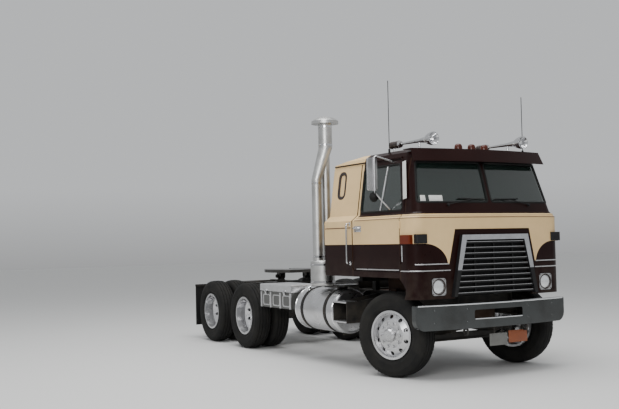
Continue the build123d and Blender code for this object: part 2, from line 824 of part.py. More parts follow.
with BuildPart() as tank_brackets:
    for side in (-1, 1):
        for strap_x in strap_xs:
            with BuildSketch(Plane.YZ.offset(strap_x - strap_width / 2)):
                with Locations((side * tank_y, tank_z)):
                    Circle(tank_radius + strap_wall)
                    Circle(tank_radius, mode=Mode.SUBTRACT)
            extrude(amount=strap_width)
            with BuildSketch(Plane.YZ.offset(strap_x - cradle_wall / 2)):
                with BuildLine():
                    Polyline(
                        (side * frame_width / 2, rail_top_z - 10), (side * (frame_width / 2 + 70), rail_top_z - 10),
                        (side * tank_y, tank_z), (side * tank_y, tank_z - tank_radius - 40),
                        (side * (tank_y - 150), tank_z - tank_radius - 40),
                        (side * frame_width / 2, rail_low), close=True,
                    )
                make_face()
                with Locations((side * tank_y, tank_z)):
                    Circle(tank_radius, mode=Mode.SUBTRACT)
            extrude(amount=cradle_wall)
        for hanger_behind in (tank_front - 5, tank_front + 5 - step_depth):
            with BuildSketch(Plane.YZ.offset(aft(hanger_behind))):
                with BuildLine():
                    Polyline(
                        (side * frame_width / 2, rail_top_z - 30),
                        (side * frame_width / 2, rail_low + 20),
                        (side * step_inner_y, step_zs[0]),
                        (side * step_outer_y, step_zs[0]),
                        (side * step_outer_y, step_zs[1] + step_wall),
                        (side * step_inner_y, step_zs[1] + step_wall),
                        close=True,
                    )
                make_face()
            extrude(amount=step_plate)
        for step_z in step_zs:
            with BuildSketch(Plane.XY.offset(step_z)):
                with Locations((aft(tank_front - 5 - step_depth / 2), side * (step_inner_y + step_outer_y) / 2)):
                    Rectangle(step_depth, step_outer_y - step_inner_y)
            extrude(amount=step_wall)
        with BuildSketch(Plane.XY.offset(tank_z + tank_radius)):
            with Locations((strap_xs[0], side * tank_y)):
                Rectangle(strap_width, 140)
        extrude(amount=top_step_z - tank_z - tank_radius)
        with BuildSketch(Plane.XY.offset(top_step_z)):
            with Locations((strap_xs[0] + 110, side * (tank_y + 10))):
                Rectangle(300, 240)
        extrude(amount=step_wall)
    add(fuel_tanks.part, mode=Mode.SUBTRACT)
finish(tank_brackets, "tank_brackets")

# Battery box behind the right tank: a ribbed case with a cover, on two brackets off the rail
with BuildPart() as battery_box:
    case_top = box_top_z - box_lid_height - box_lid_gap
    with BuildSketch(Plane.XY.offset(box_bottom_z)):
        with Locations((aft(box_front + box_length / 2), -(box_outer_y + box_inner_y) / 2)):
            Rectangle(box_length - 30, box_outer_y - box_inner_y - 30)
    extrude(amount=box_top_z - box_bottom_z - 20)
    with BuildSketch(Plane.XY.offset(box_top_z - box_lid_height)):
        with Locations((aft(box_front + box_length / 2), -(box_outer_y + box_inner_y) / 2)):
            Rectangle(box_length, box_outer_y - box_inner_y)
    extrude(amount=box_lid_height)
    fillet(battery_box.edges().group_by(Axis.Z)[-1], 18)
    rib_pitch = (box_length - 30) / (box_rib_count - 1)
    for index in range(box_rib_count):
        rib_x = aft(box_front + 15) - 20 - index * (rib_pitch - 40 / (box_rib_count - 1))
        with BuildSketch(Plane.XY.offset(box_bottom_z)):
            with Locations((rib_x, -(box_outer_y - 12))):
                Rectangle(40, 24)
        extrude(amount=case_top - box_bottom_z)
    for behind in (box_front + 150, box_front + box_length - 150):
        with BuildSketch(Plane.YZ.offset(aft(behind) - 15)):
            with BuildLine():
                Polyline(
                    (-frame_width / 2, rail_top_z - 15), (-box_inner_y - 20, rail_top_z - 60),
                    (-box_inner_y - 20, box_bottom_z), (-frame_width / 2, rail_low), close=True,
                )
            make_face()
        extrude(amount=30)
finish(battery_box, "battery_box")

# Intake stack: rain cap and upper pipe, two pipes down to the air cleaner, and its bracket off the rail
cleaner_y = stack_branch_y - 70
cap_height = 70.0
cap_ball_radius = (cap_radius ** 2 + cap_height ** 2) / (2 * cap_height)
dome_middle_z = stack_top_z - cap_ball_radius + sqrt(cap_ball_radius ** 2 - (cap_radius / 2) ** 2)
bracket_depth = 90.0
bracket_wall_z = 24.0

with BuildPart() as intake_stack:
    sx = aft(stack_x)
    with BuildSketch(Plane.XY.offset(cleaner_foot_z)):
        with Locations((sx, -cleaner_y)):
            Circle(cleaner_radius)
    extrude(amount=stack_foot_z - cleaner_foot_z)
    fillet(intake_stack.edges().filter_by(GeomType.CIRCLE), 30)
    with BuildSketch(Plane.XY.offset(stack_foot_z - 20)):
        with Locations((sx, -stack_branch_y)):
            Circle(stack_branch_radius)
    extrude(amount=stack_branch_z - stack_foot_z + 20)
    with BuildSketch(Plane.XY.offset(stack_foot_z - 20)):
        with Locations((sx, -stack_y)):
            Circle(stack_inner_radius)
    extrude(amount=stack_bend_z - stack_foot_z + 40)
    with BuildSketch(Plane.XY.offset(stack_branch_z)):
        with Locations((sx, -stack_branch_y)):
            Circle(stack_branch_radius)
    with BuildSketch(Plane.XY.offset(stack_bend_z)):
        with Locations((sx, -stack_y)):
            Circle(stack_radius)
    loft(ruled=True)
    with BuildSketch(Plane.XY.offset(stack_bend_z)):
        with Locations((sx, -stack_y)):
            Circle(stack_radius)
    extrude(amount=stack_top_z - 100 - stack_bend_z)
    with BuildSketch(Plane.XZ.offset(stack_y)):
        with BuildLine():
            low_edge = Polyline(
                (sx, stack_top_z - 110), (sx + cap_radius, stack_top_z - 110), (sx + cap_radius, stack_top_z - cap_height),
            )
            dome = ThreePointArc(low_edge @ 1, (sx + cap_radius / 2, dome_middle_z), (sx, stack_top_z))
            Line(dome @ 1, low_edge @ 0)
        make_face()
    revolve(axis=Axis((sx, -stack_y, 0), (0, 0, 1)))
    with BuildSketch(Plane.YZ.offset(sx - bracket_depth / 2)):
        with BuildLine():
            Polyline(
                (-frame_width / 2, rail_top_z - 90), (-frame_width / 2, rail_top_z - 10),
                (-frame_width / 2 - 40, cleaner_foot_z), (-cleaner_y, cleaner_foot_z),
                (-cleaner_y, cleaner_foot_z - bracket_wall_z), (-frame_width / 2 - 190, cleaner_foot_z - bracket_wall_z),
                (-frame_width / 2 - 70, rail_top_z - 10), close=True,
            )
        make_face()
    extrude(amount=bracket_depth)
finish(intake_stack, "intake_stack")

# Exhaust: a muffler under the left side with an outlet turned down
muffler_radius = 130.0
muffler_front = 2330.0
muffler_length = 900.0
muffler_y = 620.0
muffler_z = 760.0
exhaust_pipe_radius = 55.0

with BuildPart() as exhaust_muffler:
    with BuildSketch(Plane.YZ.offset(aft(muffler_front + muffler_length))):
        with Locations((muffler_y, muffler_z)):
            Circle(muffler_radius)
    extrude(amount=muffler_length)
    fillet(exhaust_muffler.edges().filter_by(GeomType.CIRCLE), 30)
    with BuildSketch(Plane.XZ.offset(-muffler_y)):
        with Locations((aft(muffler_front + 720), muffler_z)):
            Circle(exhaust_pipe_radius)
    extrude(amount=-(box_outer_y - 20 - muffler_y))
    for behind in (muffler_front + 120, muffler_front + 560):
        with BuildSketch(Plane.YZ.offset(aft(behind) - 12)):
            with BuildLine():
                Polyline(
                    (frame_width / 2, rail_top_z - 20), (muffler_y, muffler_z + muffler_radius - 10),
                    (muffler_y, muffler_z), (frame_width / 2, rail_low + 20), close=True,
                )
            make_face()
        extrude(amount=24)
finish(exhaust_muffler, "exhaust_muffler")

# Fifth wheel: base on the rails, and the plate that rocks on it
plate_x = bogie_x + plate_ahead_of_bogie
base_ear_wall = 36.0
base_ear_y = 250.0

with BuildPart() as fifth_wheel_base:
    with BuildSketch(Plane.XY.offset(rail_top_z)):
        with Locations((plate_x, 0)):
            Rectangle(620, frame_width + 20)
            Rectangle(620 - 240, 2 * base_ear_y - 100, mode=Mode.SUBTRACT)
    extrude(amount=22)
    for side in (-1, 1):
        with BuildSketch(Plane.XZ.offset(-(side * base_ear_y - base_ear_wall / 2))):
            with BuildLine():
                Polyline(
                    (plate_x - 150, rail_top_z), (plate_x + 150, rail_top_z),
                    (plate_x + 50, plate_pivot_z), (plate_x - 50, plate_pivot_z), close=True,
                )
            make_face()
            with Locations((plate_x, plate_pivot_z)):
                Circle(50)
        extrude(amount=-base_ear_wall)
        with BuildSketch(Plane.XZ.offset(-(side * (base_ear_y + 20) - 75))):
            with Locations((plate_x, plate_pivot_z)):
                Circle(plate_pivot_radius)
        extrude(amount=-150)
finish(fifth_wheel_base, "fifth_wheel_base")

with BuildPart() as fifth_wheel_plate:
    with BuildSketch(Plane.XY.offset(plate_top_z - plate_wall)):
        with BuildLine():
            FilletPolyline(
                (plate_x + 0.46 * plate_length, -0.36 * plate_width), (plate_x + 0.46 * plate_length, 0.36 * plate_width),
                (plate_x + 0.1 * plate_length, plate_width / 2), (plate_x - 0.2 * plate_length, plate_width / 2),
                (plate_x - 0.54 * plate_length, 0.34 * plate_width), (plate_x - 0.54 * plate_length, throat_half_width),
                (plate_x - 120, 30), (plate_x - 120, -30),
                (plate_x - 0.54 * plate_length, -throat_half_width), (plate_x - 0.54 * plate_length, -0.34 * plate_width),
                (plate_x - 0.2 * plate_length, -plate_width / 2), (plate_x + 0.1 * plate_length, -plate_width / 2),
                radius=24, close=True,
            )
        make_face()
        with Locations((plate_x, 0)):
            Circle(kingpin_bore_radius, mode=Mode.SUBTRACT)
    extrude(amount=plate_wall)
    for side in (-1, 1):
        for step in (-1, 1):
            inner = side * (base_ear_y + step * (base_ear_wall / 2 + 10 + 15)) - 15
            with BuildSketch(Plane.XZ.offset(-inner)):
                with Locations((plate_x, plate_pivot_z)):
                    Circle(46)
                with Locations((plate_x, (plate_pivot_z + plate_top_z - plate_wall + 4) / 2)):
                    Rectangle(92, plate_top_z - plate_wall + 4 - plate_pivot_z)
                with Locations((plate_x, plate_pivot_z)):
                    Circle(plate_pivot_radius + bearing_clearance, mode=Mode.SUBTRACT)
            extrude(amount=-30)
finish(fifth_wheel_plate, "fifth_wheel_plate")

# Mud flaps behind the rear tyres, and the tail lamps
with BuildPart() as mud_flaps:
    for side in (-1, 1):
        with BuildSketch(Plane.XY.offset(flap_top_z - bar_size - flap_height)):
            with Locations((aft(flap_behind), side * (dual_outer_y + tyre_width / 2 - flap_width / 2))):
                Rectangle(flap_wall, flap_width)
        extrude(amount=flap_height)
finish(mud_flaps, "mud_flaps")

with BuildPart() as tail_lamps:
    for side in (-1, 1):
        with BuildSketch(Plane.YZ.offset(aft(rail_rear))):
            with Locations((side * 300, rail_top_z - rail_wall - crossmember_height / 2)):
                RectangleRounded(170, 90, 20)
        extrude(amount=-(rear_reach - rail_rear))
finish(tail_lamps, "tail_lamps")

# Cab body: one closed outer form and one cavity, both as stacked sections, cut into the real panels
door_top_z = roof_split_z - panel_gap
sleeper_front = door_rear + door_rear_gap
roof_edge_z = eaves_z + 48
roof_edge_inset = 16.0

cab_sections = [
    # z, front ahead of the axle, half width, front corner radius
    (nose_bottom_z, cab_front, cab_half_width, corner_radius),
    (belt_z, cab_front, cab_half_width, corner_radius),
    (shoulder_z, shoulder_front, shoulder_half_width, upper_corner_radius),
    (eaves_z, eaves_front, eaves_half_width, upper_corner_radius),
    (roof_edge_z, eaves_front - roof_edge_inset, eaves_half_width - roof_edge_inset, upper_corner_radius),
    (crown_z, eaves_front - crown_inset, eaves_half_width - crown_inset, upper_corner_radius),
]


def cab_section(z, front, half_width, corner, inset):
    """Plan of the cab at one height: a bowed front, rounded corners and straight sides."""
    front_x = fore(front - inset)
    side_y = half_width - inset
    rear_x = aft(cab_rear - inset)
    with BuildSketch(Plane.XY.offset(z)) as section:
        with BuildLine():
            bow = ThreePointArc((front_x - nose_bow, -side_y), (front_x, 0), (front_x - nose_bow, side_y))
            Polyline(bow @ 1, (rear_x, side_y), (rear_x, -side_y), bow @ 0)
        make_face()
        fillet(section.vertices().group_by(Axis.X)[-1], corner - inset)
        fillet(section.vertices().group_by(Axis.X)[0], rear_corner_radius - inset / 2)
    return section.sketch


def stack_sections(inset, drop):
    """Solid through the cab's sections, drawn in by an inset, its roof lowered by a drop."""
    with BuildPart() as body:
        pairs = list(zip(cab_sections, cab_sections[1:]))
        for (low, front_a, half_a, corner_a), (high, front_b, half_b, corner_b) in pairs:
            lower_z = low if low <= eaves_z else low - drop
            upper_z = high if high <= eaves_z else high - drop
            loft(
                [
                    cab_section(lower_z, front_a, half_a, corner_a, inset),
                    cab_section(upper_z, front_b, half_b, corner_b, inset),
                ],
                ruled=True,
            )
        with BuildSketch(Plane.XZ.offset(-2 * cab_half_width)):
            with BuildLine():
                Polyline(
                    (aft(roof_slope_start), crown_z - drop), (aft(cab_rear), crown_z - drop - roof_slope_drop),
                    (aft(cab_rear + 50), crown_z - drop - roof_slope_drop), (aft(cab_rear + 50), crown_z + 100),
                    (aft(roof_slope_start), crown_z + 100), close=True,
                )
            make_face()
        extrude(amount=4 * cab_half_width, mode=Mode.SUBTRACT)
    return body.part


cab_outer = stack_sections(0, 0)
cab_cavity = stack_sections(cab_wall, cab_wall)
cab_lining = stack_sections(cab_wall + trim_clearance, cab_wall + trim_clearance)
glass_outer = stack_sections((cab_wall - glass_wall) / 2, 0)
glass_inner = stack_sections((cab_wall + glass_wall) / 2, 0)

with BuildPart() as cab_shell:
    add(cab_outer)
    add(cab_cavity, mode=Mode.SUBTRACT)
    with BuildSketch(Plane.XZ.offset(-2 * cab_half_width)):
        with BuildLine():
            Polyline(
                (aft(cab_rear + 50), nose_bottom_z - 50), (fore(arch_front - 60), nose_bottom_z - 50),
                (fore(arch_front), nose_bottom_z + 60), (fore(arch_front), sill_z - 120),
                (fore(arch_front - 120), sill_z), (aft(cab_rear + 50), sill_z), close=True,
            )
        make_face()
    extrude(amount=4 * cab_half_width, mode=Mode.SUBTRACT)

with BuildPart() as glass_shell:
    add(glass_outer)
    add(glass_inner, mode=Mode.SUBTRACT)


def side_prism(outline, near_y, far_y):
    """Prism on both sides of the cab from an outline seen from the side."""
    with BuildPart() as prism:
        for side in (-1, 1):
            with BuildSketch(Plane.XZ.offset(-side * near_y)):
                add(outline)
            extrude(amount=-side * (far_y - near_y))
    return prism.part


def door_sketch(grow):
    """Door outline seen from the side, grown all round by a gap. Its upper rear corner is square."""
    rear_x = aft(door_rear + (door_rear_gap if grow else 0))
    with BuildSketch(Plane.XZ) as sketch:
        with BuildLine():
            edge = FilletPolyline(
                (rear_x, door_top_z), (rear_x, door_bottom_z),
                (fore(door_front), door_bottom_z),
                (fore(door_front), belt_z), (fore(door_head_front), door_top_z),
                radius=[door_corner, door_corner, 120],
            )
            Line(edge @ 1, edge @ 0)
        make_face()
        if grow:
            offset(amount=grow, kind=Kind.INTERSECTION)
    return sketch.sketch_local


def door_window_sketch():
    """Door window seen from the side, its front edge raked."""
    with BuildSketch(Plane.XZ) as sketch:
        with BuildLine():
            FilletPolyline(
                (aft(door_window_rear), door_window_sill_z), (fore(door_window_front_low), door_window_sill_z),
                (fore(door_window_front_high), door_window_head_z), (aft(door_window_rear), door_window_head_z),
                radius=45, close=True,
            )
        make_face()
    return sketch.sketch_local


def porthole_sketch(grow):
    """Upright oval of the sleeper window."""
    with BuildSketch(Plane.XZ) as sketch:
        with Locations((aft(porthole_x), porthole_z)):
            SlotOverall(porthole_height + 2 * grow, porthole_width + 2 * grow, rotation=90)
    return sketch.sketch_local


def windshield_sketch(side):
    """One windshield pane seen from the front."""
    with BuildSketch(Plane.YZ) as sketch:
        with BuildLine():
            FilletPolyline(
                (side * centre_post_half, windshield_sill_z), (side * windshield_sill_half, windshield_sill_z),
                (side * windshield_head_half, windshield_head_z), (side * centre_post_half, windshield_head_z),
                radius=35, close=True,
            )
        make_face()
    return sketch.sketch_local


def grille_sketch(grow):
    """Grille opening seen from the front, wider at the bottom."""
    with BuildSketch(Plane.YZ) as sketch:
        with BuildLine():
            Polyline(
                (-grille_bottom_half - grow, grille_bottom_z - grow), (grille_bottom_half + grow, grille_bottom_z - grow),
                (grille_top_half + grow, grille_top_z + grow), (-grille_top_half - grow, grille_top_z + grow), close=True,
            )
        make_face()
    return sketch.sketch_local


def front_prism(outlines, near, far):
    """Prism along the vehicle from outlines seen from the front."""
    with BuildPart() as prism:
        for outline in outlines:
            with BuildSketch(Plane.YZ.offset(fore(near))):
                add(outline)
            extrude(amount=far - near)
    return prism.part


def block(low, high):
    """Plain block between two corners."""
    with BuildPart() as box:
        with BuildSketch(Plane.XY.offset(low[2])):
            with Locations(((low[0] + high[0]) / 2, (low[1] + high[1]) / 2)):
                Rectangle(high[0] - low[0], high[1] - low[1])
        extrude(amount=high[2] - low[2])
    return box.part


door_opening = side_prism(door_sketch(panel_gap), 700, 1400)
door_prism = side_prism(door_sketch(0), 700, 1400)
door_windows = side_prism(door_window_sketch(), 700, 1400)
portholes = side_prism(porthole_sketch(0), 700, 1400)
windshield_prism = front_prism([windshield_sketch(-1), windshield_sketch(1)], 250, 1000)
grille_prism = front_prism([grille_sketch(0)], 500, 1000)
wide = 2 * cab_half_width
below_grille = block(
    (fore(500), -grille_bottom_half, nose_bottom_z - 10), (fore(1000), grille_bottom_half, grille_bottom_z + 1),
)
behind_cab = aft(cab_rear + 100)
ahead_of_cab = fore(cab_front + 100)

with BuildPart() as cab_body:
    add(cab_shell.part)
    add(block((aft(sleeper_front), -wide, 0), (ahead_of_cab, wide, roof_split_z)), mode=Mode.INTERSECT)
    add(door_opening, mode=Mode.SUBTRACT)
    add(windshield_prism, mode=Mode.SUBTRACT)
    add(grille_prism, mode=Mode.SUBTRACT)
    add(below_grille, mode=Mode.SUBTRACT)
finish(cab_body, "cab_body")

with BuildPart() as sleeper_box:
    add(cab_shell.part)
    add(block((behind_cab, -wide, 0), (aft(sleeper_front), wide, roof_split_z)), mode=Mode.INTERSECT)
    add(portholes, mode=Mode.SUBTRACT)
finish(sleeper_box, "sleeper_box")

with BuildPart() as cab_roof:
    add(cab_shell.part)
    add(block((behind_cab, -wide, roof_split_z), (ahead_of_cab, wide, crown_z + 50)), mode=Mode.INTERSECT)
finish(cab_roof, "cab_roof")

with BuildPart() as cab_glass:
    add(glass_shell.part)
    add(windshield_prism + portholes, mode=Mode.INTERSECT)
finish(cab_glass, "cab_glass")

for name, side in sides:
    half_space = block((aft(1000), min(0, side * wide), 0), (fore(1000), max(0, side * wide), 4000))
    with BuildPart() as door:
        add(cab_shell.part)
        add(door_prism, mode=Mode.INTERSECT)
        add(door_windows, mode=Mode.SUBTRACT)
        add(half_space, mode=Mode.INTERSECT)
    finish(door, f"door_{name}")
    with BuildPart() as door_glass:
        add(glass_shell.part)
        add(door_windows, mode=Mode.INTERSECT)
        add(half_space, mode=Mode.INTERSECT)
    finish(door_glass, f"door_glass_{name}")

# Floor with the engine tunnel, fitted to the cab's inside, and the two ears of the cab hinge
with BuildPart() as cab_floor:
    with BuildSketch(Plane.YZ.offset(behind_cab)):
        with BuildLine():
            Polyline(
                (-wide, floor_z - floor_wall), (-wide, floor_z), (-tunnel_half_width, floor_z),
                (-tunnel_half_width, tunnel_top_z), (tunnel_half_width, tunnel_top_z), (tunnel_half_width, floor_z),
                (wide, floor_z), (wide, floor_z - floor_wall), (tunnel_half_width - floor_wall, floor_z - floor_wall),
                (tunnel_half_width - floor_wall, tunnel_top_z - floor_wall),
                (-tunnel_half_width + floor_wall, tunnel_top_z - floor_wall),
                (-tunnel_half_width + floor_wall, floor_z - floor_wall), close=True,
            )
        make_face()
    extrude(amount=ahead_of_cab - behind_cab)
    add(cab_cavity, mode=Mode.INTERSECT)
    for side in (-1, 1):
        with BuildSketch(Plane.XZ.offset(-(side * pivot_ear_y - pivot_ear_wall / 2))):
            with Locations((fore(cab_pivot_ahead), (cab_pivot_z + floor_z - 10) / 2)):
                Rectangle(84, floor_z - 10 - cab_pivot_z)
            with Locations((fore(cab_pivot_ahead), cab_pivot_z)):
                Circle(42)
                Circle(cab_pivot_radius + bearing_clearance, mode=Mode.SUBTRACT)
        extrude(amount=-pivot_ear_wall)
finish(cab_floor, "cab_floor")

# Grille: a bright frame standing proud of the nose, and bars on three struts
with BuildPart() as grille_surround:
    add(front_prism([grille_sketch(surround_border)], cab_front - surround_depth - 60, cab_front + surround_proud))
    add(front_prism([grille_sketch(0)], cab_front - 500, cab_front + 500), mode=Mode.SUBTRACT)
    add(block((fore(0), -wide, grille_bottom_z), (fore(2000), wide, 3000)), mode=Mode.INTERSECT)
    add(cab_outer, mode=Mode.SUBTRACT)
finish(grille_surround, "grille_surround")

bar_pitch = (grille_top_z - grille_bottom_z) / bar_count
bar_back = cab_front - 20
strut_half_spread = 300.0
strut_width = 24.0


def grille_half_at(z):
    """Half the grille's width at a height."""
    share = (z - grille_bottom_z) / (grille_top_z - grille_bottom_z)
    return grille_bottom_half + share * (grille_top_half - grille_bottom_half)


with BuildPart() as grille_bars:
    for index in range(bar_count):
        low = grille_bottom_z + (index + 0.5) * bar_pitch - bar_height / 2
        low_half = grille_half_at(low)
        high_half = grille_half_at(low + bar_height)
        with BuildSketch(Plane.YZ.offset(fore(bar_back))):
            with BuildLine():
                Polyline((-low_half, low), (low_half, low), (high_half, low + bar_height), (-high_half, low + bar_height), close=True)
            make_face()
        extrude(amount=bar_depth)
    for strut_y in (-strut_half_spread, 0, strut_half_spread):
        with BuildSketch(Plane.XY.offset(grille_bottom_z + bar_pitch / 2)):
            with Locations((fore(bar_back), strut_y)):
                Rectangle(16, strut_width)
        extrude(amount=grille_top_z - grille_bottom_z - bar_pitch)
finish(grille_bars, "grille_bars")

# Lamps: square bezels round the headlamps, the corner lamps above the fenders, and the roof's row of lamps
headlamp_y = 847.0
headlamp_z = 1116.0
bezel_size = 205.0
lens_radius = 86.0
headlamp_front = cab_front - 22.0
corner_lamp_places = [
    # ahead of the axle, y, z, length, width, height
    (520.0, 1140.0, 1683.0, 190.0, 110.0, 108.0),
    (668.0, 1065.0, 1688.0, 80.0, 150.0, 110.0),
]
roof_lamp_places = [
    # ahead of the axle, y
    (358.0, 210.0), (360.0, 0.0), (358.0, -210.0),
]
roof_lamp_radius = 30.0
roof_lamp_height = 75.0

with BuildPart() as headlamp_bezels:
    for side in (-1, 1):
        with BuildSketch(Plane.YZ.offset(fore(headlamp_front))):
            with Locations((side * headlamp_y, headlamp_z)):
                RectangleRounded(bezel_size, bezel_size, 34)
                Circle(lens_radius, mode=Mode.SUBTRACT)
        extrude(amount=-100)
    add(cab_outer, mode=Mode.SUBTRACT)
finish(headlamp_bezels, "headlamp_bezels")

with BuildPart() as headlamp_lenses:
    for side in (-1, 1):
        with BuildSketch(Plane.YZ.offset(fore(headlamp_front - 12))):
            with Locations((side * headlamp_y, headlamp_z)):
                Circle(lens_radius)
        extrude(amount=-90)
    add(cab_outer, mode=Mode.SUBTRACT)
finish(headlamp_lenses, "headlamp_lenses")

with BuildPart() as marker_lamps:
    with BuildSketch(Plane.XY.offset(eaves_z)):
        for ahead, lamp_y in roof_lamp_places:
            with Locations((fore(ahead), lamp_y)):
                Circle(roof_lamp_radius)
    extrude(amount=crown_z + roof_lamp_height - eaves_z)
    fillet(marker_lamps.edges().group_by(Axis.Z)[-1], 16)
    for side in (-1, 1):
        for ahead, out_y, z, length, width, height in corner_lamp_places:
            with BuildSketch(Plane.XY.offset(z - height / 2)):
                with Locations((fore(ahead), side * out_y)):
                    RectangleRounded(length, width, 14)
            extrude(amount=height)
    add(cab_outer, mode=Mode.SUBTRACT)
finish(marker_lamps, "marker_lamps")

# Sun visor over the windshield
visor_low_z = 2625.0
visor_high_z = 2785.0
visor_low_front = 650.0
visor_high_front = 575.0
visor_half_width = 1045.0
visor_wall = 8.0

with BuildPart() as visor_sheet:
    with BuildSketch(Plane.XY.offset(visor_low_z)):
        bow_band(fore(visor_low_front), 105, visor_half_width, visor_wall, False)
    with BuildSketch(Plane.XY.offset(visor_high_z)):
        bow_band(fore(visor_high_front), 105, visor_half_width - 20, visor_wall, False)
    loft(ruled=True)

with BuildPart() as sun_visor:
    with BuildSketch(Plane.XY.offset(visor_high_z - visor_wall)):
        bow_band(fore(visor_high_front), 105, visor_half_width - 20, 170, False)
    extrude(amount=visor_wall)
    add(visor_sheet.part)
    add(cab_outer, mode=Mode.SUBTRACT)
finish(sun_visor, "sun_visor")

# Roof fittings: two air horns and two whip antennas
horn_y = 720.0
horn_axis_z = 2905.0
horn_bell_front = 530.0
horn_bell_radius = 80.0
horn_tube_radius = 14.0
horn_length = 900.0
horn_can_radius = 45.0
horn_can_length = 200.0

with BuildPart() as air_horns:
    for side in (-1, 1):
        bell_x = fore(horn_bell_front)
        back_x = fore(horn_bell_front - horn_length)
        with BuildSketch(Plane.XZ.offset(-side * horn_y)):
            with BuildLine():
                Polyline(
                    (back_x, horn_axis_z), (back_x, horn_axis_z + horn_can_radius),
                    (back_x + horn_can_length, horn_axis_z + horn_can_radius),
                    (back_x + horn_can_length + 15, horn_axis_z + horn_tube_radius),
                    (bell_x - 300, horn_axis_z + 0.3 * horn_bell_radius),
                    (bell_x - 130, horn_axis_z + 0.55 * horn_bell_radius),
                    (bell_x - 35, horn_axis_z + 0.85 * horn_bell_radius),
                    (bell_x, horn_axis_z + horn_bell_radius),
                    (bell_x, horn_axis_z + horn_bell_radius - 8),
                    (bell_x - 60, horn_axis_z + 0.45 * horn_bell_radius),
                    (bell_x - 90, horn_axis_z), close=True,
                )
            make_face()
        revolve(axis=Axis((0, side * horn_y, horn_axis_z), (1, 0, 0)))
        for post_x in (back_x + 60, bell_x - 300):
            with BuildSketch(Plane.XY.offset(eaves_z)):
                with Locations((post_x, side * horn_y)):
                    Circle(13)
            extrude(amount=horn_axis_z - eaves_z)
    add(cab_outer, mode=Mode.SUBTRACT)
finish(air_horns, "air_horns")

antenna_y = 930.0
antenna_radius = 5.0
antenna_base_radius = 14.0
antenna_places = [
    # ahead of the axle, side, top z
    (-120.0, -1, 3700.0),
    (285.0, 1, 3540.0),
]

with BuildPart() as antennas:
    for ahead, side, top_z in antenna_places:
        for radius, height in ((antenna_base_radius, 2830.0), (antenna_radius, top_z)):
            with BuildSketch(Plane.XY.offset(eaves_z)):
                with Locations((fore(ahead), side * antenna_y)):
                    Circle(radius)
            extrude(amount=height - eaves_z)
    add(cab_outer, mode=Mode.SUBTRACT)
finish(antennas, "antennas")

# Mirrors: a tall head on a bent tube whose ends seat on the door
mirror_ahead = 30.0
mirror_y = 1290.0
mirror_width = 135.0
mirror_height = 406.0
mirror_depth = 34.0
mirror_z = 2495.0
mirror_tube_radius = 11.0
mirror_foot_ahead = 75.0

for name, side in sides:
    tube_y = side * (mirror_y - 20)
    with BuildPart() as mirror:
        with BuildSketch(Plane.YZ.offset(fore(mirror_ahead) - mirror_depth)):
            with Locations((side * mirror_y, mirror_z)):
                RectangleRounded(mirror_width, mirror_height, 26)
        extrude(amount=mirror_depth)
        with BuildLine():
            arm = FilletPolyline(
                (fore(mirror_foot_ahead), side * (eaves_half_width - 40), roof_split_z - 40),
                (fore(mirror_ahead) + 8, tube_y, mirror_z + mirror_height / 2 + 26),
                (fore(mirror_ahead) + 8, tube_y, mirror_z - mirror_height / 2 - 26),
                (fore(mirror_foot_ahead), side * (shoulder_half_width - 40), door_window_sill_z - 15),
                radius=30,
            )
        with BuildSketch(Plane(origin=arm @ 0, z_dir=arm % 0)):
            Circle(mirror_tube_radius)
        sweep(path=arm)
        add(cab_outer, mode=Mode.SUBTRACT)
    finish(mirror, f"mirror_{name}")

# Inside the cab: two seats, the bunk's mattress, the dashboard with its column, and the steering wheel
seat_y = 780.0
seat_width = 440.0
seat_backrest_width = 380.0
seat_back_x = 560.0
seat_depth = 500.0
seat_cushion_z = 1640.0
seat_cushion_height = 130.0
seat_backrest_top_z = 2250.0
seat_backrest_depth = 120.0
seat_pedestal_width = 320.0

with BuildPart() as seats:
    for side in (-1, 1):
        with BuildSketch(Plane.XY.offset(floor_z)):
            with Locations((aft(seat_back_x - seat_depth / 2), side * seat_y)):
                RectangleRounded(seat_depth - 120, seat_pedestal_width, 40)
        extrude(amount=seat_cushion_z - floor_z)
        with BuildSketch(Plane.XY.offset(seat_cushion_z)):
            with Locations((aft(seat_back_x - seat_depth / 2), side * seat_y)):
                RectangleRounded(seat_depth, seat_width, 60)
        extrude(amount=seat_cushion_height)
        with BuildSketch(Plane.YZ.offset(aft(seat_back_x))):
            with Locations((side * seat_y, (seat_cushion_z + seat_backrest_top_z) / 2)):
                RectangleRounded(seat_backrest_width, seat_backrest_top_z - seat_cushion_z, 60)
        extrude(amount=seat_backrest_depth)
finish(seats, "seats")

bunk_front = cab_rear - cab_wall - bunk_depth
with BuildPart() as bunk_mattress:
    with BuildSketch(Plane.XY.offset(tunnel_top_z)):
        with Locations((aft((cab_rear - cab_wall + bunk_front) / 2), 0)):
            RectangleRounded(bunk_depth - 20, 2 * (cab_half_width - cab_wall - 12), 50)
    extrude(amount=mattress_height)
    fillet(bunk_mattress.edges().group_by(Axis.Z)[-1], 30)
finish(bunk_mattress, "bunk_mattress")

dash_back = 300.0
dash_low_z = tunnel_top_z
dash_top_z = 2040.0
wheel_centre_ahead = 40.0
wheel_centre_z = 2000.0
wheel_tilt = 28.0
wheel_ring_radius = 225.0
wheel_rim_radius = 14.0
column_radius = 30.0

with BuildPart() as dashboard:
    with BuildSketch(Plane.XZ.offset(-wide)):
        with BuildLine():
            Polyline(
                (fore(dash_back + 60), dash_low_z), (fore(dash_back), dash_low_z + 120), (fore(dash_back), dash_top_z - 60),
                (fore(dash_back + 50), dash_top_z), (ahead_of_cab, dash_top_z), (ahead_of_cab, dash_low_z), close=True,
            )
        make_face()
    extrude(amount=2 * wide)
    add(cab_lining, mode=Mode.INTERSECT)
finish(dashboard, "dashboard")

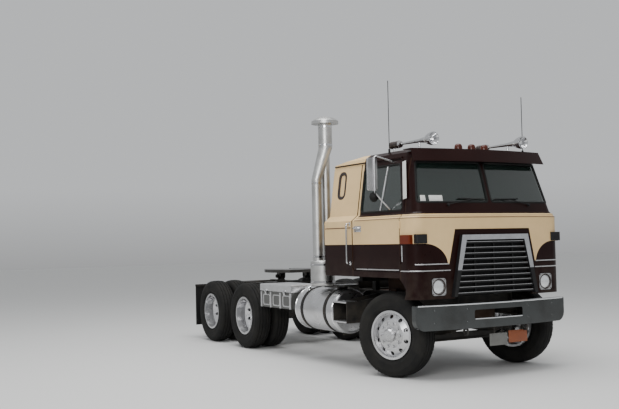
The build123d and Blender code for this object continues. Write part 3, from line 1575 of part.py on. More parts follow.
wheel_centre = Vector(fore(wheel_centre_ahead), seat_y, wheel_centre_z)
wheel_normal = Vector(-sin(radians(wheel_tilt)), 0, cos(radians(wheel_tilt)))
wheel_plane = Plane(origin=wheel_centre, x_dir=(0, 1, 0), z_dir=wheel_normal)

with BuildPart() as steering_wheel:
    ring_plane = Plane(origin=wheel_centre, x_dir=wheel_plane.x_dir, z_dir=wheel_plane.y_dir)
    with BuildSketch(ring_plane):
        with Locations((wheel_ring_radius, 0)):
            Circle(wheel_rim_radius)
    revolve(axis=Axis(wheel_centre, wheel_normal))
    with BuildSketch(wheel_plane.offset(-28)):
        Circle(50)
        for angle in (90, 210, 330):
            with PolarLocations(wheel_ring_radius / 2, 1, start_angle=angle):
                Rectangle(wheel_ring_radius, 34)
    extrude(amount=22)
    column_run = (wheel_centre_z - floor_z) / cos(radians(wheel_tilt))
    with BuildSketch(wheel_plane.offset(-26)):
        Circle(column_radius)
    extrude(amount=-(column_run + 60))
    add(block((aft(2000), -wide, floor_z), (fore(2000), wide, 3000)), mode=Mode.INTERSECT)
    add(dashboard.part, mode=Mode.SUBTRACT)
finish(steering_wheel, "steering_wheel")
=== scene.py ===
import json
import math

import bmesh
import bpy
from mathutils import Matrix, Vector


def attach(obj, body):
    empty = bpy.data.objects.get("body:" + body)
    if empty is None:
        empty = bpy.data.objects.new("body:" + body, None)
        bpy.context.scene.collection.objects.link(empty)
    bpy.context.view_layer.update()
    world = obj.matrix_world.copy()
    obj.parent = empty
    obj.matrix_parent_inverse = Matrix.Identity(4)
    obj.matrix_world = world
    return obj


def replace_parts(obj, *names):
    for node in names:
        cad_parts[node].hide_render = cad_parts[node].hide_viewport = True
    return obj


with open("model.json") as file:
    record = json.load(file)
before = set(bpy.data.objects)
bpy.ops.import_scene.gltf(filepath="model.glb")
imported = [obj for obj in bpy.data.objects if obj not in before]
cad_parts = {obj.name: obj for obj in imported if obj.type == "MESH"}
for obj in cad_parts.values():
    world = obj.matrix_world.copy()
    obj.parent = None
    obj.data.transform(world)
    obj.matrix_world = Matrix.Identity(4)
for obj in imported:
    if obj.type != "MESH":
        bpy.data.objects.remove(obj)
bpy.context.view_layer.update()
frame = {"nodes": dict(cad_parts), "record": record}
nodes = frame["nodes"]

# Places shared with the CAD source, in metres, in the row frame
AXLE_X = 2.62
RAIL_HALF = 0.43
DRIVE_AXLES = (("fore", -1.32), ("rear", -2.62))
SIDES = (("right", -1), ("left", 1))
GRILLE_LOW, GRILLE_HIGH = (0.99, 0.618), (1.665, 0.458)
NOSE_BOW = 0.08
CAB_REAR = 1.4
CAB_SECTIONS = (
    # z, front ahead of the axle, half width, front corner radius
    (0.97, 0.74, 1.175, 0.17), (1.94, 0.74, 1.175, 0.17), (2.01, 0.712, 1.085, 0.12),
    (2.7, 0.505, 0.985, 0.12), (2.748, 0.489, 0.969, 0.12), (2.795, 0.41, 0.89, 0.12),
)
AHEAD, BACK, RIGHT, UP = Vector((1, 0, 0)), Vector((-1, 0, 0)), Vector((0, -1, 0)), Vector((0, 0, 1))


def at(ahead, y, z):
    """Place from its distance ahead of the front axle."""
    return Vector((AXLE_X + ahead, y, z))


def linked(name, data):
    """New object of the data, linked to the scene."""
    made = bpy.data.objects.new(name, data)
    bpy.context.scene.collection.objects.link(made)
    return made


# Camera: solved from the photograph, 619 by 409 pixels

PHOTO_WIDTH = 619
FOCAL_PIXELS = 904.338
SENSOR_WIDTH = 36.0
CAMERA_PLACE = at(9.271, -7.454, 1.683)
CAMERA_YAW, CAMERA_PITCH, CAMERA_ROLL = 2.624, 0.041, -0.021


def add_camera():
    """Camera that looks along its yaw and pitch, turned by its roll."""
    data = bpy.data.cameras.new("camera")
    data.sensor_width = SENSOR_WIDTH
    data.lens = FOCAL_PIXELS * SENSOR_WIDTH / PHOTO_WIDTH
    data.clip_end = 200
    ahead = Vector((
        math.cos(CAMERA_YAW) * math.cos(CAMERA_PITCH), math.sin(CAMERA_YAW) * math.cos(CAMERA_PITCH),
        math.sin(CAMERA_PITCH),
    ))
    level = Vector((math.sin(CAMERA_YAW), -math.cos(CAMERA_YAW), 0))
    above = level.cross(ahead)
    across = level * math.cos(CAMERA_ROLL) + above * math.sin(CAMERA_ROLL)
    up = above * math.cos(CAMERA_ROLL) - level * math.sin(CAMERA_ROLL)
    camera = linked("camera", data)
    camera.matrix_world = Matrix.Translation(CAMERA_PLACE) @ Matrix((across, up, -ahead)).transposed().to_4x4()
    bpy.context.scene.camera = camera


add_camera()


# Materials, kept by name. A colour is (red, green, blue)

materials = {}
NOISE_ROUGHNESS = 0.6
BUMP_DISTANCE = 0.001
EDGE_SOFT = 0.0012


class Graph:
    """A material's nodes, with short names for what the materials here use."""

    def __init__(self, name):
        self.material = materials[name] = bpy.data.materials.new(name)
        self.material.use_nodes = True
        self.tree = self.material.node_tree
        self.shader = self.tree.nodes["Principled BSDF"]
        self.place = self.tree.nodes.new("ShaderNodeTexCoord").outputs["Object"]

    def join(self, source, target):
        """Links an output, or sets a plain colour or number."""
        if isinstance(source, tuple):
            target.default_value = (*source, 1.0)
        elif isinstance(source, (int, float)):
            target.default_value = source
        else:
            self.tree.links.new(source, target)

    def add(self, kind, inputs, **settings):
        """New node. inputs gives what each input is joined to, by its name or number."""
        node = self.tree.nodes.new("ShaderNode" + kind)
        for key, value in settings.items():
            setattr(node, key, value)
        for key, value in inputs.items():
            self.join(value, node.inputs[key])
        return node

    def math(self, operation, *values):
        return self.add("Math", dict(enumerate(values)), operation=operation).outputs[0]

    def fold(self, operation, masks):
        made = masks[0]
        for mask in masks[1:]:
            made = self.math(operation, made, mask)
        return made

    def both(self, *masks):
        return self.fold("MULTIPLY", masks)

    def either(self, *masks):
        return self.fold("MAXIMUM", masks)

    def axes(self):
        return self.add("SeparateXYZ", {0: self.place}).outputs

    def noise(self, scale, detail):
        return self.add("TexNoise", {
            "Vector": self.place, "Scale": scale, "Detail": detail, "Roughness": NOISE_ROUGHNESS,
        }).outputs["Fac"]

    def ramp(self, value, low, high, start=0.0, end=1.0):
        """value, taken from the span low to high, to start and end."""
        return self.add("MapRange", {
            "Value": value, "From Min": low, "From Max": high, "To Min": start, "To Max": end,
        }).outputs[0]

    def above(self, value, edge, soft=EDGE_SOFT):
        """1 where the value is over the edge, 0 where it is under."""
        return self.ramp(value, edge - soft, edge + soft)

    def below(self, value, edge, soft=EDGE_SOFT):
        return self.ramp(value, edge - soft, edge + soft, 1.0, 0.0)

    def mix(self, share, first, second):
        return self.add("Mix", {0: share, 6: first, 7: second}, data_type="RGBA").outputs[2]

    def bump(self, height, strength):
        node = self.add("Bump", {"Strength": strength, "Distance": BUMP_DISTANCE, "Height": height})
        self.join(node.outputs[0], self.shader.inputs["Normal"])

    def set(self, **values):
        for key, value in values.items():
            self.join(value, self.shader.inputs[key.replace("_", " ")])
        return self.material


CREAM, CREAM_DUSTY = (0.70, 0.50, 0.26), (0.54, 0.38, 0.19)
MAROON, MAROON_WORN = (0.0098, 0.0022, 0.0019), (0.016, 0.005, 0.004)
ROAD_DIRT = (0.10, 0.085, 0.065)
# Brown of the shade painted into the door gaps
GAP_SHADE_BROWN = (0.03, 0.014, 0.008)

# Paint lines, read from the photograph on the cab's surfaces
BELT_Z, LOWER_Z, BAND_Z = 1.962, 1.632, 1.385
DARK_REAR_X, NOSE_X = AXLE_X - 0.6, AXLE_X + 0.4
ARCH_Y, ARCH_REACH, ARCH_RISE = 1.02, 0.32, 0.265
COLLAR_HIGH, COLLAR_LOW = (1.797, 0.59), (1.365, 0.687)
SEAM_REAR, SEAM_FRONT = (AXLE_X - 0.668, AXLE_X - 0.646), (AXLE_X + 0.394, AXLE_X + 0.406)
SEAM_Y, SEAM_TOP = 0.8, 2.67


def dark_areas(g):
    """Mask of the maroon areas: above the belt, below the cream band, and round the grille."""
    x, y, z = g.axes()
    from_middle = g.math("ABSOLUTE", y)
    upper = g.both(g.above(z, BELT_Z), g.above(x, DARK_REAR_X))
    across = g.math("DIVIDE", g.math("MAXIMUM", g.math("SUBTRACT", ARCH_Y, from_middle), 0.0), ARCH_REACH)
    rise = g.math("DIVIDE", g.math("SUBTRACT", z, BAND_Z - 0.02), ARCH_RISE)
    reach = g.math("ADD", g.math("POWER", across, 2.0), g.math("POWER", rise, 2.0))
    arch = g.both(g.below(reach, 1.0, 0.01), g.below(z, LOWER_Z + 0.01))
    slope = (COLLAR_LOW[1] - COLLAR_HIGH[1]) / (COLLAR_HIGH[0] - COLLAR_LOW[0])
    collar_half = g.math("MULTIPLY_ADD", g.math("SUBTRACT", COLLAR_HIGH[0], z), slope, COLLAR_HIGH[1])
    collar = g.both(g.below(g.math("SUBTRACT", from_middle, collar_half), 0.0), g.below(z, COLLAR_HIGH[0]))
    front = g.both(g.above(x, NOSE_X), g.either(arch, collar, g.below(z, BAND_Z)))
    return g.either(upper, front, g.both(g.below(x, NOSE_X), g.below(z, LOWER_Z)))


def door_seams(g):
    """Mask of the shadowed gaps before and behind each door, and of the faces inside them."""
    x, y, z = g.axes()
    rear, front = (g.both(g.above(x, low), g.below(x, high)) for low, high in (SEAM_REAR, SEAM_FRONT))
    beside = g.both(g.above(g.math("ABSOLUTE", y), SEAM_Y), g.below(z, SEAM_TOP))
    return g.both(g.either(rear, front), beside)


def paint(name, base, worn, roughness=0.32, coat=0.05, second=None):
    """Car paint: slow colour drift, road film low down, and fine orange peel. second is a second colour; with it, shade
    is also painted into the door gaps.
    """
    g = Graph(name)
    z = g.axes()[2]
    drift = g.math("MULTIPLY", g.ramp(g.noise(1.7, 5), 0.35, 0.7), 0.6)
    film = g.both(g.ramp(z, 1.5, 0.5), g.ramp(g.noise(6, 6), 0.35, 0.75))
    colour = g.mix(drift, base, worn)
    if second:
        colour = g.mix(dark_areas(g), colour, g.mix(drift, *second))
        # Painted shade: the gaps before and behind each door, and the faces inside them, are darkened
        colour = g.mix(door_seams(g), colour, GAP_SHADE_BROWN)
    colour = g.mix(g.math("MULTIPLY", film, 0.6), colour, ROAD_DIRT)
    gloss = g.ramp(g.noise(22, 4), 0.3, 0.7, roughness - 0.05, roughness + 0.08)
    g.bump(g.noise(260, 2), 0.03)
    g.set(
        Base_Color=colour, Roughness=g.math("MULTIPLY_ADD", film, 0.3, gloss), Coat_Weight=coat, Coat_Roughness=0.12,
        Specular_IOR_Level=0.10,
    )


def metal(name, base, dirt, roughness, metallic=1.0, grime=0.5, grain=0.015):
    """Bright or cast metal with uneven gloss, grime in patches, and a cast grain."""
    g = Graph(name)
    patches = g.ramp(g.noise(3.5, 6), 0.45, 0.80)
    colour = g.mix(g.math("MULTIPLY", patches, grime), base, dirt)
    rough = g.ramp(g.noise(9, 5), 0.3, 0.7, roughness * 0.85, roughness * 1.3)
    g.bump(g.noise(40, 3), grain)
    g.set(Base_Color=colour, Roughness=rough, Metallic=metallic)


def plain(name, base, second, roughness, scale, **sockets):
    """Rubber, plastic and cloth: two close tones and a fine grain."""
    g = Graph(name)
    colour = g.mix(g.ramp(g.noise(scale / 8, 5), 0.35, 0.7), base, second)
    rough = g.ramp(g.noise(scale, 3), 0.3, 0.7, roughness - 0.06, roughness + 0.06)
    g.bump(g.noise(scale * 4, 3), 0.15)
    g.set(Base_Color=colour, Roughness=rough, **sockets)


def window_glass(name, tint, alpha):
    """Tinted pane: partly see-through, glossy, with a faint film of dust."""
    g = Graph(name)
    film = g.ramp(g.noise(9, 5), 0.4, 0.8, 0.03, 0.12)
    g.set(Base_Color=tint, Roughness=film, Metallic=0.0, Alpha=alpha, Coat_Weight=1.0, Coat_Roughness=0.03)


def banded(name, first, second, mask_of, roughness, metallic):
    """Two finishes on one piece, parted by a mask of the place. roughness and metallic give both shares."""
    g = Graph(name)
    mask = mask_of(g)
    patches = g.math("MULTIPLY", g.ramp(g.noise(9, 5), 0.4, 0.75), 0.4)
    colour = g.mix(mask, g.mix(patches, *first), g.mix(patches, *second))
    rough = g.ramp(mask, 0.0, 1.0, *roughness)
    g.bump(g.noise(120, 3), 0.06)
    g.set(
        Base_Color=colour, Roughness=g.math("MULTIPLY_ADD", g.noise(20, 4), 0.12, rough),
        Metallic=g.ramp(mask, 0.0, 1.0, *metallic), Specular_IOR_Level=0.25,
    )


BAR_PITCH = (GRILLE_HIGH[0] - GRILLE_LOW[0]) / 10
DARK_PAIR = ((0.008, 0.008, 0.009), (0.022, 0.020, 0.018))
BRIGHT_PAIR = ((0.58, 0.58, 0.59), (0.30, 0.29, 0.27))
WEAVE, LENS_RIBS = 800, 420
BAR_FRONT, LAMP_FRONT, LAMP_TOP = AXLE_X + 0.741, AXLE_X + 0.621, 2.0
LIP_FRONT, LIP_LOW = AXLE_X + 0.774, 1.306
LID_LOW, LID_INNER_Y, CASE_TOP, RIB_Y = 0.9449, -0.6395, 0.931, -1.1665


def waves(g, value, count):
    return g.math("SINE", g.math("MULTIPLY", value, count))


def bar_edges(g):
    """1 on the upper front edge of each grille bar."""
    x, y, z = g.axes()
    place = g.math("FRACT", g.math("DIVIDE", g.math("SUBTRACT", z, GRILLE_LOW[0]), BAR_PITCH))
    return g.both(g.above(place, 0.60, 0.02), g.above(x, BAR_FRONT, 0.001))


def mesh_weave(g):
    """Fine square weave."""
    x, y, z = g.axes()
    return g.above(g.math("MAXIMUM", waves(g, y, WEAVE), waves(g, z, WEAVE)), 0.75, 0.2)


def surround_lip(g):
    """1 on the upper front face of the grille's surround."""
    x, y, z = g.axes()
    return g.both(g.above(z, LIP_LOW), g.above(x, LIP_FRONT, 0.0005))


def front_lamp(g):
    """1 on the dark box of the front corner lamp."""
    x, y, z = g.axes()
    return g.both(g.above(x, LAMP_FRONT), g.below(z, LAMP_TOP))


def lid_and_case(g):
    """1 on the battery box's cover and ribs, 0 in the gap under the cover and on the case's face."""
    x, y, z = g.axes()
    lid = g.both(g.above(z, LID_LOW), g.below(y, LID_INNER_Y))
    return g.either(lid, g.both(g.below(y, RIB_Y), g.below(z, CASE_TOP)))


paint("cream_paint", CREAM, CREAM_DUSTY)
paint("maroon_paint", MAROON, MAROON_WORN)
paint("two_tone_paint", CREAM, CREAM_DUSTY, second=(MAROON, MAROON_WORN))
paint("frame_black", (0.012, 0.012, 0.013), (0.03, 0.027, 0.024), 0.5, 0.1)
paint("engine_paint", (0.035, 0.016, 0.010), (0.022, 0.015, 0.011), 0.55)
metal("chrome", (0.62, 0.62, 0.63), (0.32, 0.31, 0.29), 0.12, grime=0.35)
metal("bright_metal", (0.60, 0.60, 0.61), (0.30, 0.29, 0.27), 0.28)
metal("stack_metal", (0.55, 0.55, 0.54), (0.26, 0.25, 0.23), 0.36, grime=0.6)
metal("cast_steel", (0.035, 0.033, 0.03), (0.07, 0.05, 0.035), 0.6, metallic=0.4, grain=0.15)
metal("greased_steel", (0.10, 0.095, 0.09), (0.02, 0.018, 0.015), 0.34)
# Bumper chrome with a darkened base: a painted reflection of a dark road, with grime patches on top
metal("bumper_chrome_dark_reflection", (0.10, 0.105, 0.105), (0.05, 0.048, 0.045), 0.20, grime=0.6)
metal("reflector", (0.80, 0.81, 0.82), (0.62, 0.62, 0.60), 0.10, grime=0.2)
plain("tyre", (0.007, 0.007, 0.007), (0.016, 0.015, 0.013), 0.85, 40, Specular_IOR_Level=0.25)
plain("black_rubber", (0.006, 0.006, 0.006), (0.013, 0.0125, 0.0115), 0.65, 60, Specular_IOR_Level=0.2)
plain("amber_lens", (0.44, 0.075, 0.006), (0.32, 0.05, 0.006), 0.25, 30, Coat_Weight=0.3)
plain("red_lens", (0.30, 0.007, 0.005), (0.22, 0.005, 0.004), 0.25, 30, Coat_Weight=0.3)
plain("roof_lens", (0.070, 0.012, 0.004), (0.045, 0.008, 0.003), 0.25, 30, Specular_IOR_Level=0.3)
plain("brown_vinyl", (0.055, 0.024, 0.013), (0.035, 0.016, 0.01), 0.45, 80)
plain("mattress_cloth", (0.30, 0.26, 0.2), (0.22, 0.19, 0.15), 0.9, 120, Sheen_Weight=0.3)
plain("cab_trim", (0.035, 0.026, 0.02), (0.022, 0.017, 0.014), 0.6, 90)
plain("dark_trim", (0.016, 0.009, 0.008), (0.028, 0.017, 0.013), 0.4, 70)
plain("brown_line", (0.10, 0.045, 0.02), (0.07, 0.03, 0.015), 0.45, 70)
plain("plate_white", (0.62, 0.62, 0.60), (0.50, 0.50, 0.47), 0.5, 50)
plain("plate_grey", (0.16, 0.16, 0.15), (0.12, 0.118, 0.11), 0.5, 50)
plain("plate_orange", (0.25, 0.065, 0.018), (0.19, 0.05, 0.015), 0.5, 50)
window_glass("window_glass", (0.012, 0.020, 0.017), 0.80)
window_glass("lamp_glass", (0.85, 0.88, 0.9), 0.45)
banded("grille_bars", DARK_PAIR, BRIGHT_PAIR, bar_edges, (0.35, 0.16), (0.3, 1.0))
banded("grille_mesh", ((0.003, 0.003, 0.003), (0.006, 0.006, 0.006)), DARK_PAIR, mesh_weave, (0.8, 0.5), (0.0, 0.2))
banded("surround", DARK_PAIR, ((0.66, 0.67, 0.70), (0.40, 0.39, 0.38)), surround_lip, (0.4, 0.14), (0.0, 1.0))
banded("marker_lens", ((0.12, 0.018, 0.005), (0.075, 0.011, 0.004)), DARK_PAIR, front_lamp, (0.15, 0.5), (0.0, 0.0))
banded(
    "headlamp_glass", ((0.70, 0.72, 0.74), (0.60, 0.61, 0.62)), ((0.86, 0.87, 0.88), (0.75, 0.75, 0.75)),
    lambda g: g.above(waves(g, g.axes()[1], LENS_RIBS), 0.1, 0.4), (0.10, 0.16), (0.55, 0.75),
)
banded(
    "box_metal", ((0.16, 0.16, 0.155), (0.09, 0.088, 0.083)), ((0.72, 0.72, 0.73), (0.45, 0.44, 0.42)),
    lid_and_case, (0.4, 0.24), (0.8, 1.0),
)

# Nodes with a finish of their own, in place of their slot's
OWN_FINISH = {
    "grille_bars": "grille_bars", "grille_surround": "surround", "marker_lamps": "marker_lens",
    "front_bumper": "bumper_chrome_dark_reflection", "battery_box": "box_metal", "antennas": "frame_black",
    **dict.fromkeys(("cab_body", "sleeper_box", "cab_roof", "door_right", "door_left"), "two_tone_paint"),
}
slot_of = {row["node"]: row["material_slot"] for row in frame["record"]["subparts"]}
for name, node in nodes.items():
    node.data.materials.clear()
    node.data.materials.append(materials[OWN_FINISH.get(name, slot_of[name])])


# Small parts: meshes built up from a few kinds of form

SMOOTH_BELOW = math.radians(38)
NEAR, FAR, BOTH = 1, 2, 3
BAND_SUNK, BAND_PROUD = 0.001, 0.004


def settle(elements, place):
    """Orders parts of a mesh by place. Without it, some bevelled pieces changed order from run to run."""
    ordered = sorted(elements, key=lambda element: [round(c, 5) for c in place(element)])
    for index, element in enumerate(ordered):
        element.index = index
    elements.sort()


class Piece:
    """One object of the scene, gathered as a mesh and then hung on a CAD body. Its forms can be chained."""

    def __init__(self, name, body, slot, material=None):
        self.name, self.body, self.slot = name, body, slot
        self.material = materials[material or slot]
        self.mesh = bmesh.new()

    def skin(self, rings, closed_rings=True, closed_run=False):
        """Skins a run of rings of points, each with the same count."""
        rows = [[self.mesh.verts.new(point) for point in ring] for ring in rings]
        count = len(rows[0])
        pairs = list(zip(rows, rows[1:])) + ([(rows[-1], rows[0])] if closed_run else [])
        for near, far in pairs:
            for i in range(count if closed_rings else count - 1):
                j = (i + 1) % count
                self.mesh.faces.new((near[i], near[j], far[j], far[i]))
        return rows

    def close(self, rows, caps=BOTH):
        """Closes the near end of a run of rings, its far end, or both."""
        if caps & NEAR:
            self.mesh.faces.new(tuple(reversed(rows[0])))
        if caps & FAR:
            self.mesh.faces.new(tuple(rows[-1]))
        return self

    def run(self, rings, closed):
        """Closed run of rings, or an open one with closed ends."""
        rows = self.skin(rings, closed_run=closed)
        return self if closed else self.close(rows)

    def box(self, low, high, bevel=0.0):
        """Block between two opposite corners, its edges eased by a bevel."""
        x, y, z = (sorted((low[i], high[i])) for i in range(3))
        corners = [Vector((x[i], y[j], z[k])) for i in (0, 1) for j in (0, 1) for k in (0, 1)]
        verts = [self.mesh.verts.new(corner) for corner in corners]
        sides = ((0, 1, 3, 2), (4, 6, 7, 5), (0, 4, 5, 1), (2, 3, 7, 6), (0, 2, 6, 4), (1, 5, 7, 3))
        faces = [self.mesh.faces.new([verts[i] for i in side]) for side in sides]
        if bevel:
            edges = list(dict.fromkeys(edge for face in faces for edge in face.edges))
            bmesh.ops.bevel(self.mesh, geom=edges, offset=bevel, segments=2, profile=0.5, affect="EDGES")
        return self

    def lathe(self, centre, axis, profile, sides=24, caps=0):
        """Turns (radius, distance along the axis) points round the axis. caps says which ends close."""
        along = Vector(axis).normalized()
        across = along.orthogonal().normalized()
        other = along.cross(across)
        rings = []
        for radius, distance in profile:
            middle = Vector(centre) + along * distance
            reach = max(radius, 1e-5)
            rings.append([
                middle + (across * math.cos(a) + other * math.sin(a)) * reach
                for a in (2 * math.pi * i / sides for i in range(sides))
            ])
        return self.close(self.skin(rings), caps)

    def band(self, centre, axis, radius, foot, top, sides):
        """Ring round a drum, from the halves of its width at the drum and at its top."""
        sunk, proud = radius - BAND_SUNK, radius + BAND_PROUD
        return self.lathe(centre, axis, [(sunk, -foot), (proud, -top), (proud, top), (sunk, foot)], sides)

    def drum(self, start, end, radius, sides=20, bevel=0.002):
        """Round bar between two points with eased ends."""
        length = (Vector(end) - Vector(start)).length
        return self.lathe(start, Vector(end) - Vector(start), [
            (radius - bevel, 0), (radius, bevel), (radius, length - bevel), (radius - bevel, length),
        ], sides, BOTH)

    def bolt(self, place, axis, across, height):
        """Hexagon head on its washer."""
        self.lathe(place, axis, [(across * 0.72, 0), (across * 0.72, 0.0022), (across * 0.6, 0.003)], 14, FAR)
        return self.lathe(place, axis, [
            (across * 0.56, 0), (across * 0.56, height * 0.8), (across * 0.46, height),
        ], 6, FAR)

    def tube(self, points, radius, sides=10, closed=False, flat=1.0, up=None):
        """Tube through points. flat squeezes it across the direction named up."""
        points = [Vector(p) for p in points]
        count = len(points)
        rings = []
        frame_up = Vector(up) if up else None
        for i, point in enumerate(points):
            before = points[i - 1] if closed or i else points[i]
            after = points[(i + 1) % count] if closed or i < count - 1 else points[i]
            along = (after - before).normalized()
            if frame_up is None:
                frame_up = along.orthogonal()
            second = along.cross(frame_up).normalized()
            first = second.cross(along).normalized()
            if not up:
                frame_up = first
            rings.append([
                point + first * (math.cos(a) * radius * flat) + second * (math.sin(a) * radius)
                for a in (2 * math.pi * k / sides for k in range(sides))
            ])
        return self.run(rings, closed)

    def sweep(self, spots, section, closed=False):
        """Runs a section of (across, out) points along spots. Across points away from a closed run's middle."""
        count = len(spots)
        middle = sum((point for point, _ in spots), Vector()) / count
        rings = []
        for i, (point, out) in enumerate(spots):
            before = spots[i - 1][0] if closed or i else point
            after = spots[(i + 1) % count][0] if closed or i < count - 1 else point
            across = out.cross(after - before).normalized()
            if closed and across.dot(point - middle) < 0:
                across = -across
            rings.append([point + across * a + out * b for a, b in section])
        return self.run(rings, closed)

    def plate(self, spots, thick):
        """Thin plate over an outline of spots."""
        return self.run([[point for point, _ in spots], [point + out * thick for point, out in spots]], False)

    def done(self, smooth=True, bevel=None):
        """Makes the object, gives it its material and hangs it on its body."""
        bmesh.ops.recalc_face_normals(self.mesh, faces=self.mesh.faces)
        settle(self.mesh.verts, lambda vert: vert.co)
        settle(self.mesh.edges, lambda edge: edge.verts[0].co + edge.verts[1].co)
        settle(self.mesh.faces, lambda face: face.calc_center_median())
        data = bpy.data.meshes.new(self.name)
        self.mesh.to_mesh(data)
        self.mesh.free()
        if smooth:
            data.polygons.foreach_set("use_smooth", [True] * len(data.polygons))
            data.set_sharp_from_angle(angle=SMOOTH_BELOW)
        data.materials.append(self.material)
        made = self.object = linked(self.name, data)
        if bevel:
            modifier = made.modifiers.new("bevel", "BEVEL")
            modifier.width, modifier.segments, modifier.limit_method = bevel, 2, "ANGLE"
        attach(made, self.body)
        return made


def rounded(points, radius, steps=5, closed=False):
    """Points of a run of straight lines with rounded corners."""
    points = [Vector(p) for p in points]
    count = len(points)
    out = []
    for i, point in enumerate(points):
        if not closed and i in (0, count - 1):
            out.append(point)
            continue
        before, after = points[i - 1], points[(i + 1) % count]
        inward, outward = (before - point), (after - point)
        reach = min(radius, 0.45 * inward.length, 0.45 * outward.length)
        start, end = point + inward.normalized() * reach, point + outward.normalized() * reach
        for step in range(steps + 1):
            t = step / steps
            out.append(start * (1 - t) ** 2 + point * 2 * t * (1 - t) + end * t ** 2)
    return out


def both_sides(add):
    """Calls a function once for the right side and once for the left."""
    for hand, side in SIDES:
        add(hand, side)


# Wheels: where each stands, in which direction its axle points out, and where its tyres sit along it

TYRE_RADIUS, TREAD_HALF, BEAD_RADIUS = 0.52, 0.107, 0.302
TREAD_STEPS, ZIGZAG, SHOULDER_NOTCH = 144, 0.0035, 0.007
PARKED_TURN = math.radians(18)
KINGPIN_Y, FRONT_REACH, DUAL_Y, DUAL_GAP = 0.86, 0.16, 1.075, 0.33
NUTS, NUT_CIRCLE = 10, 0.143


def wheel_table():
    """(name, body, tyre node, centre, outward direction, tyre offsets) for each wheel or twin pair."""
    rows = []
    for hand, side in SIDES:
        out = Vector((-side * math.sin(PARKED_TURN), side * math.cos(PARKED_TURN), 0))
        centre = at(0, side * KINGPIN_Y, TYRE_RADIUS) + out * FRONT_REACH
        rows.append((f"front_{hand}", f"front_wheel_{hand}", f"front_tyre_{hand}", centre, out, (0.0,)))
        for axle, axle_x in DRIVE_AXLES:
            centre = Vector((axle_x, side * DUAL_Y, TYRE_RADIUS))
            rows.append((
                f"{axle}_{hand}", f"{axle}_wheels_{hand}", f"{axle}_tyres_{hand}",
                centre, Vector((0, side, 0)), (0.0, -DUAL_GAP),
            ))
    return rows


def spoke(out, angle):
    """Direction at an angle round a wheel, from straight up."""
    return UP * math.cos(angle) + UP.cross(out) * math.sin(angle)


def tyre_profile():
    """(radius, along, zigzag share) from one bead over the sidewall and the ribbed tread to the other."""
    side = [
        (BEAD_RADIUS, 0.097), (0.312, 0.104), (0.318, 0.1115), (0.322, 0.1115), (0.328, 0.118), (0.352, 0.1275),
        (0.356, 0.13), (0.362, 0.1292), (0.399, 0.135), (0.438, 0.134), (0.442, 0.1352), (0.448, 0.133),
        (0.47, 0.1275), (0.492, 0.118), (0.503, 0.1105),
    ]
    crown = lambda a: TYRE_RADIUS - 0.014 * (a / TREAD_HALF) ** 2
    tread = [(crown(0.105), 0.105, 0.0)]
    for middle in (0.076, 0.028):
        tread += [
            (crown(middle), middle + 0.0055, 1.0), (crown(middle) - 0.013, middle + 0.0035, 1.0),
            (crown(middle) - 0.013, middle - 0.0035, 1.0), (crown(middle), middle - 0.0055, 1.0),
        ]
    outer = [(r, a, 0.0) for r, a in side] + tread
    return [(r, -a, z) for r, a, z in outer] + [(r, a, z) for r, a, z in reversed(outer)]


def add_tyres():
    """Highway tyres with ribs, zigzag grooves, notched shoulders and sidewall rings."""
    profile = tyre_profile()
    for name, body, node, centre, out, offsets in wheel_table():
        piece = Piece(f"tyre_{name}", body, "tyre")
        for offset in offsets:
            rings = []
            for i in range(TREAD_STEPS):
                way = spoke(out, 2 * math.pi * i / TREAD_STEPS)
                wave = (0, 1, 0, -1)[i % 4] * ZIGZAG
                notch = SHOULDER_NOTCH if i % 2 else 0.0
                ring = []
                for radius, along, share in profile:
                    inset = notch if 0.098 < abs(along) < 0.112 and radius > 0.495 else 0.0
                    ring.append(centre + out * (offset + along + wave * share) + way * (radius - inset))
                rings.append(ring)
            piece.skin(rings, closed_rings=False, closed_run=True)
        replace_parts(piece.done(), node)


def add_wheel_nuts():
    """Ten nuts round each disc, the hub's smaller bolts, and a valve."""
    for name, body, node, centre, out, offsets in wheel_table():
        piece = Piece(f"wheel_nuts_{name}", body, "bright_metal")
        if len(offsets) == 1:
            face, count, circle, rise = 0.107, 6, 0.086, 0.108
        else:
            face, count, circle, rise = -0.145, 8, 0.091, -0.052
        for i in range(NUTS):
            way = spoke(out, 2 * math.pi * (i + 0.5) / NUTS)
            piece.bolt(centre + out * face + way * NUT_CIRCLE, out, 0.034, 0.026)
        for i in range(count):
            piece.bolt(centre + out * rise + spoke(out, 2 * math.pi * i / count) * circle, out, 0.016, 0.012)
        way = spoke(out, 0.3)
        start = centre + out * (face - 0.035) + way * 0.262
        piece.drum(start, start + (out * 0.9 - way * 0.3) * 0.05, 0.006, 10).done()


# The cab's outside, as the CAD's sections give it

def cab_plan(z):
    """(bow radius, bow centre, corner centre x, corner centre y, corner radius) of the cab at a height."""
    for low, high in zip(CAB_SECTIONS, CAB_SECTIONS[1:]):
        if z <= high[0]:
            break
    share = min(1.0, max(0.0, (z - low[0]) / (high[0] - low[0])))
    front, half, corner = (a + share * (b - a) for a, b in zip(low[1:], high[1:]))
    bow = (half ** 2 + NOSE_BOW ** 2) / (2 * NOSE_BOW)
    bow_x = AXLE_X + front - bow
    corner_y = half - corner
    return bow, bow_x, bow_x + math.sqrt((bow - corner) ** 2 - corner_y ** 2), corner_y, corner


def flat_front_spot(y, z):
    bow, bow_x, corner_x, corner_y, corner = cab_plan(z)
    if abs(y) <= bow * math.sin(math.atan2(corner_y, corner_x - bow_x)):
        x = bow_x + math.sqrt(bow ** 2 - y ** 2)
        return Vector((x, y, z)), Vector((x - bow_x, y, 0)).normalized()
    past = min(abs(y) - corner_y, corner * 0.999)
    x = corner_x + math.sqrt(corner ** 2 - past ** 2)
    return Vector((x, y, z)), Vector((x - corner_x, math.copysign(past, y), 0)).normalized()


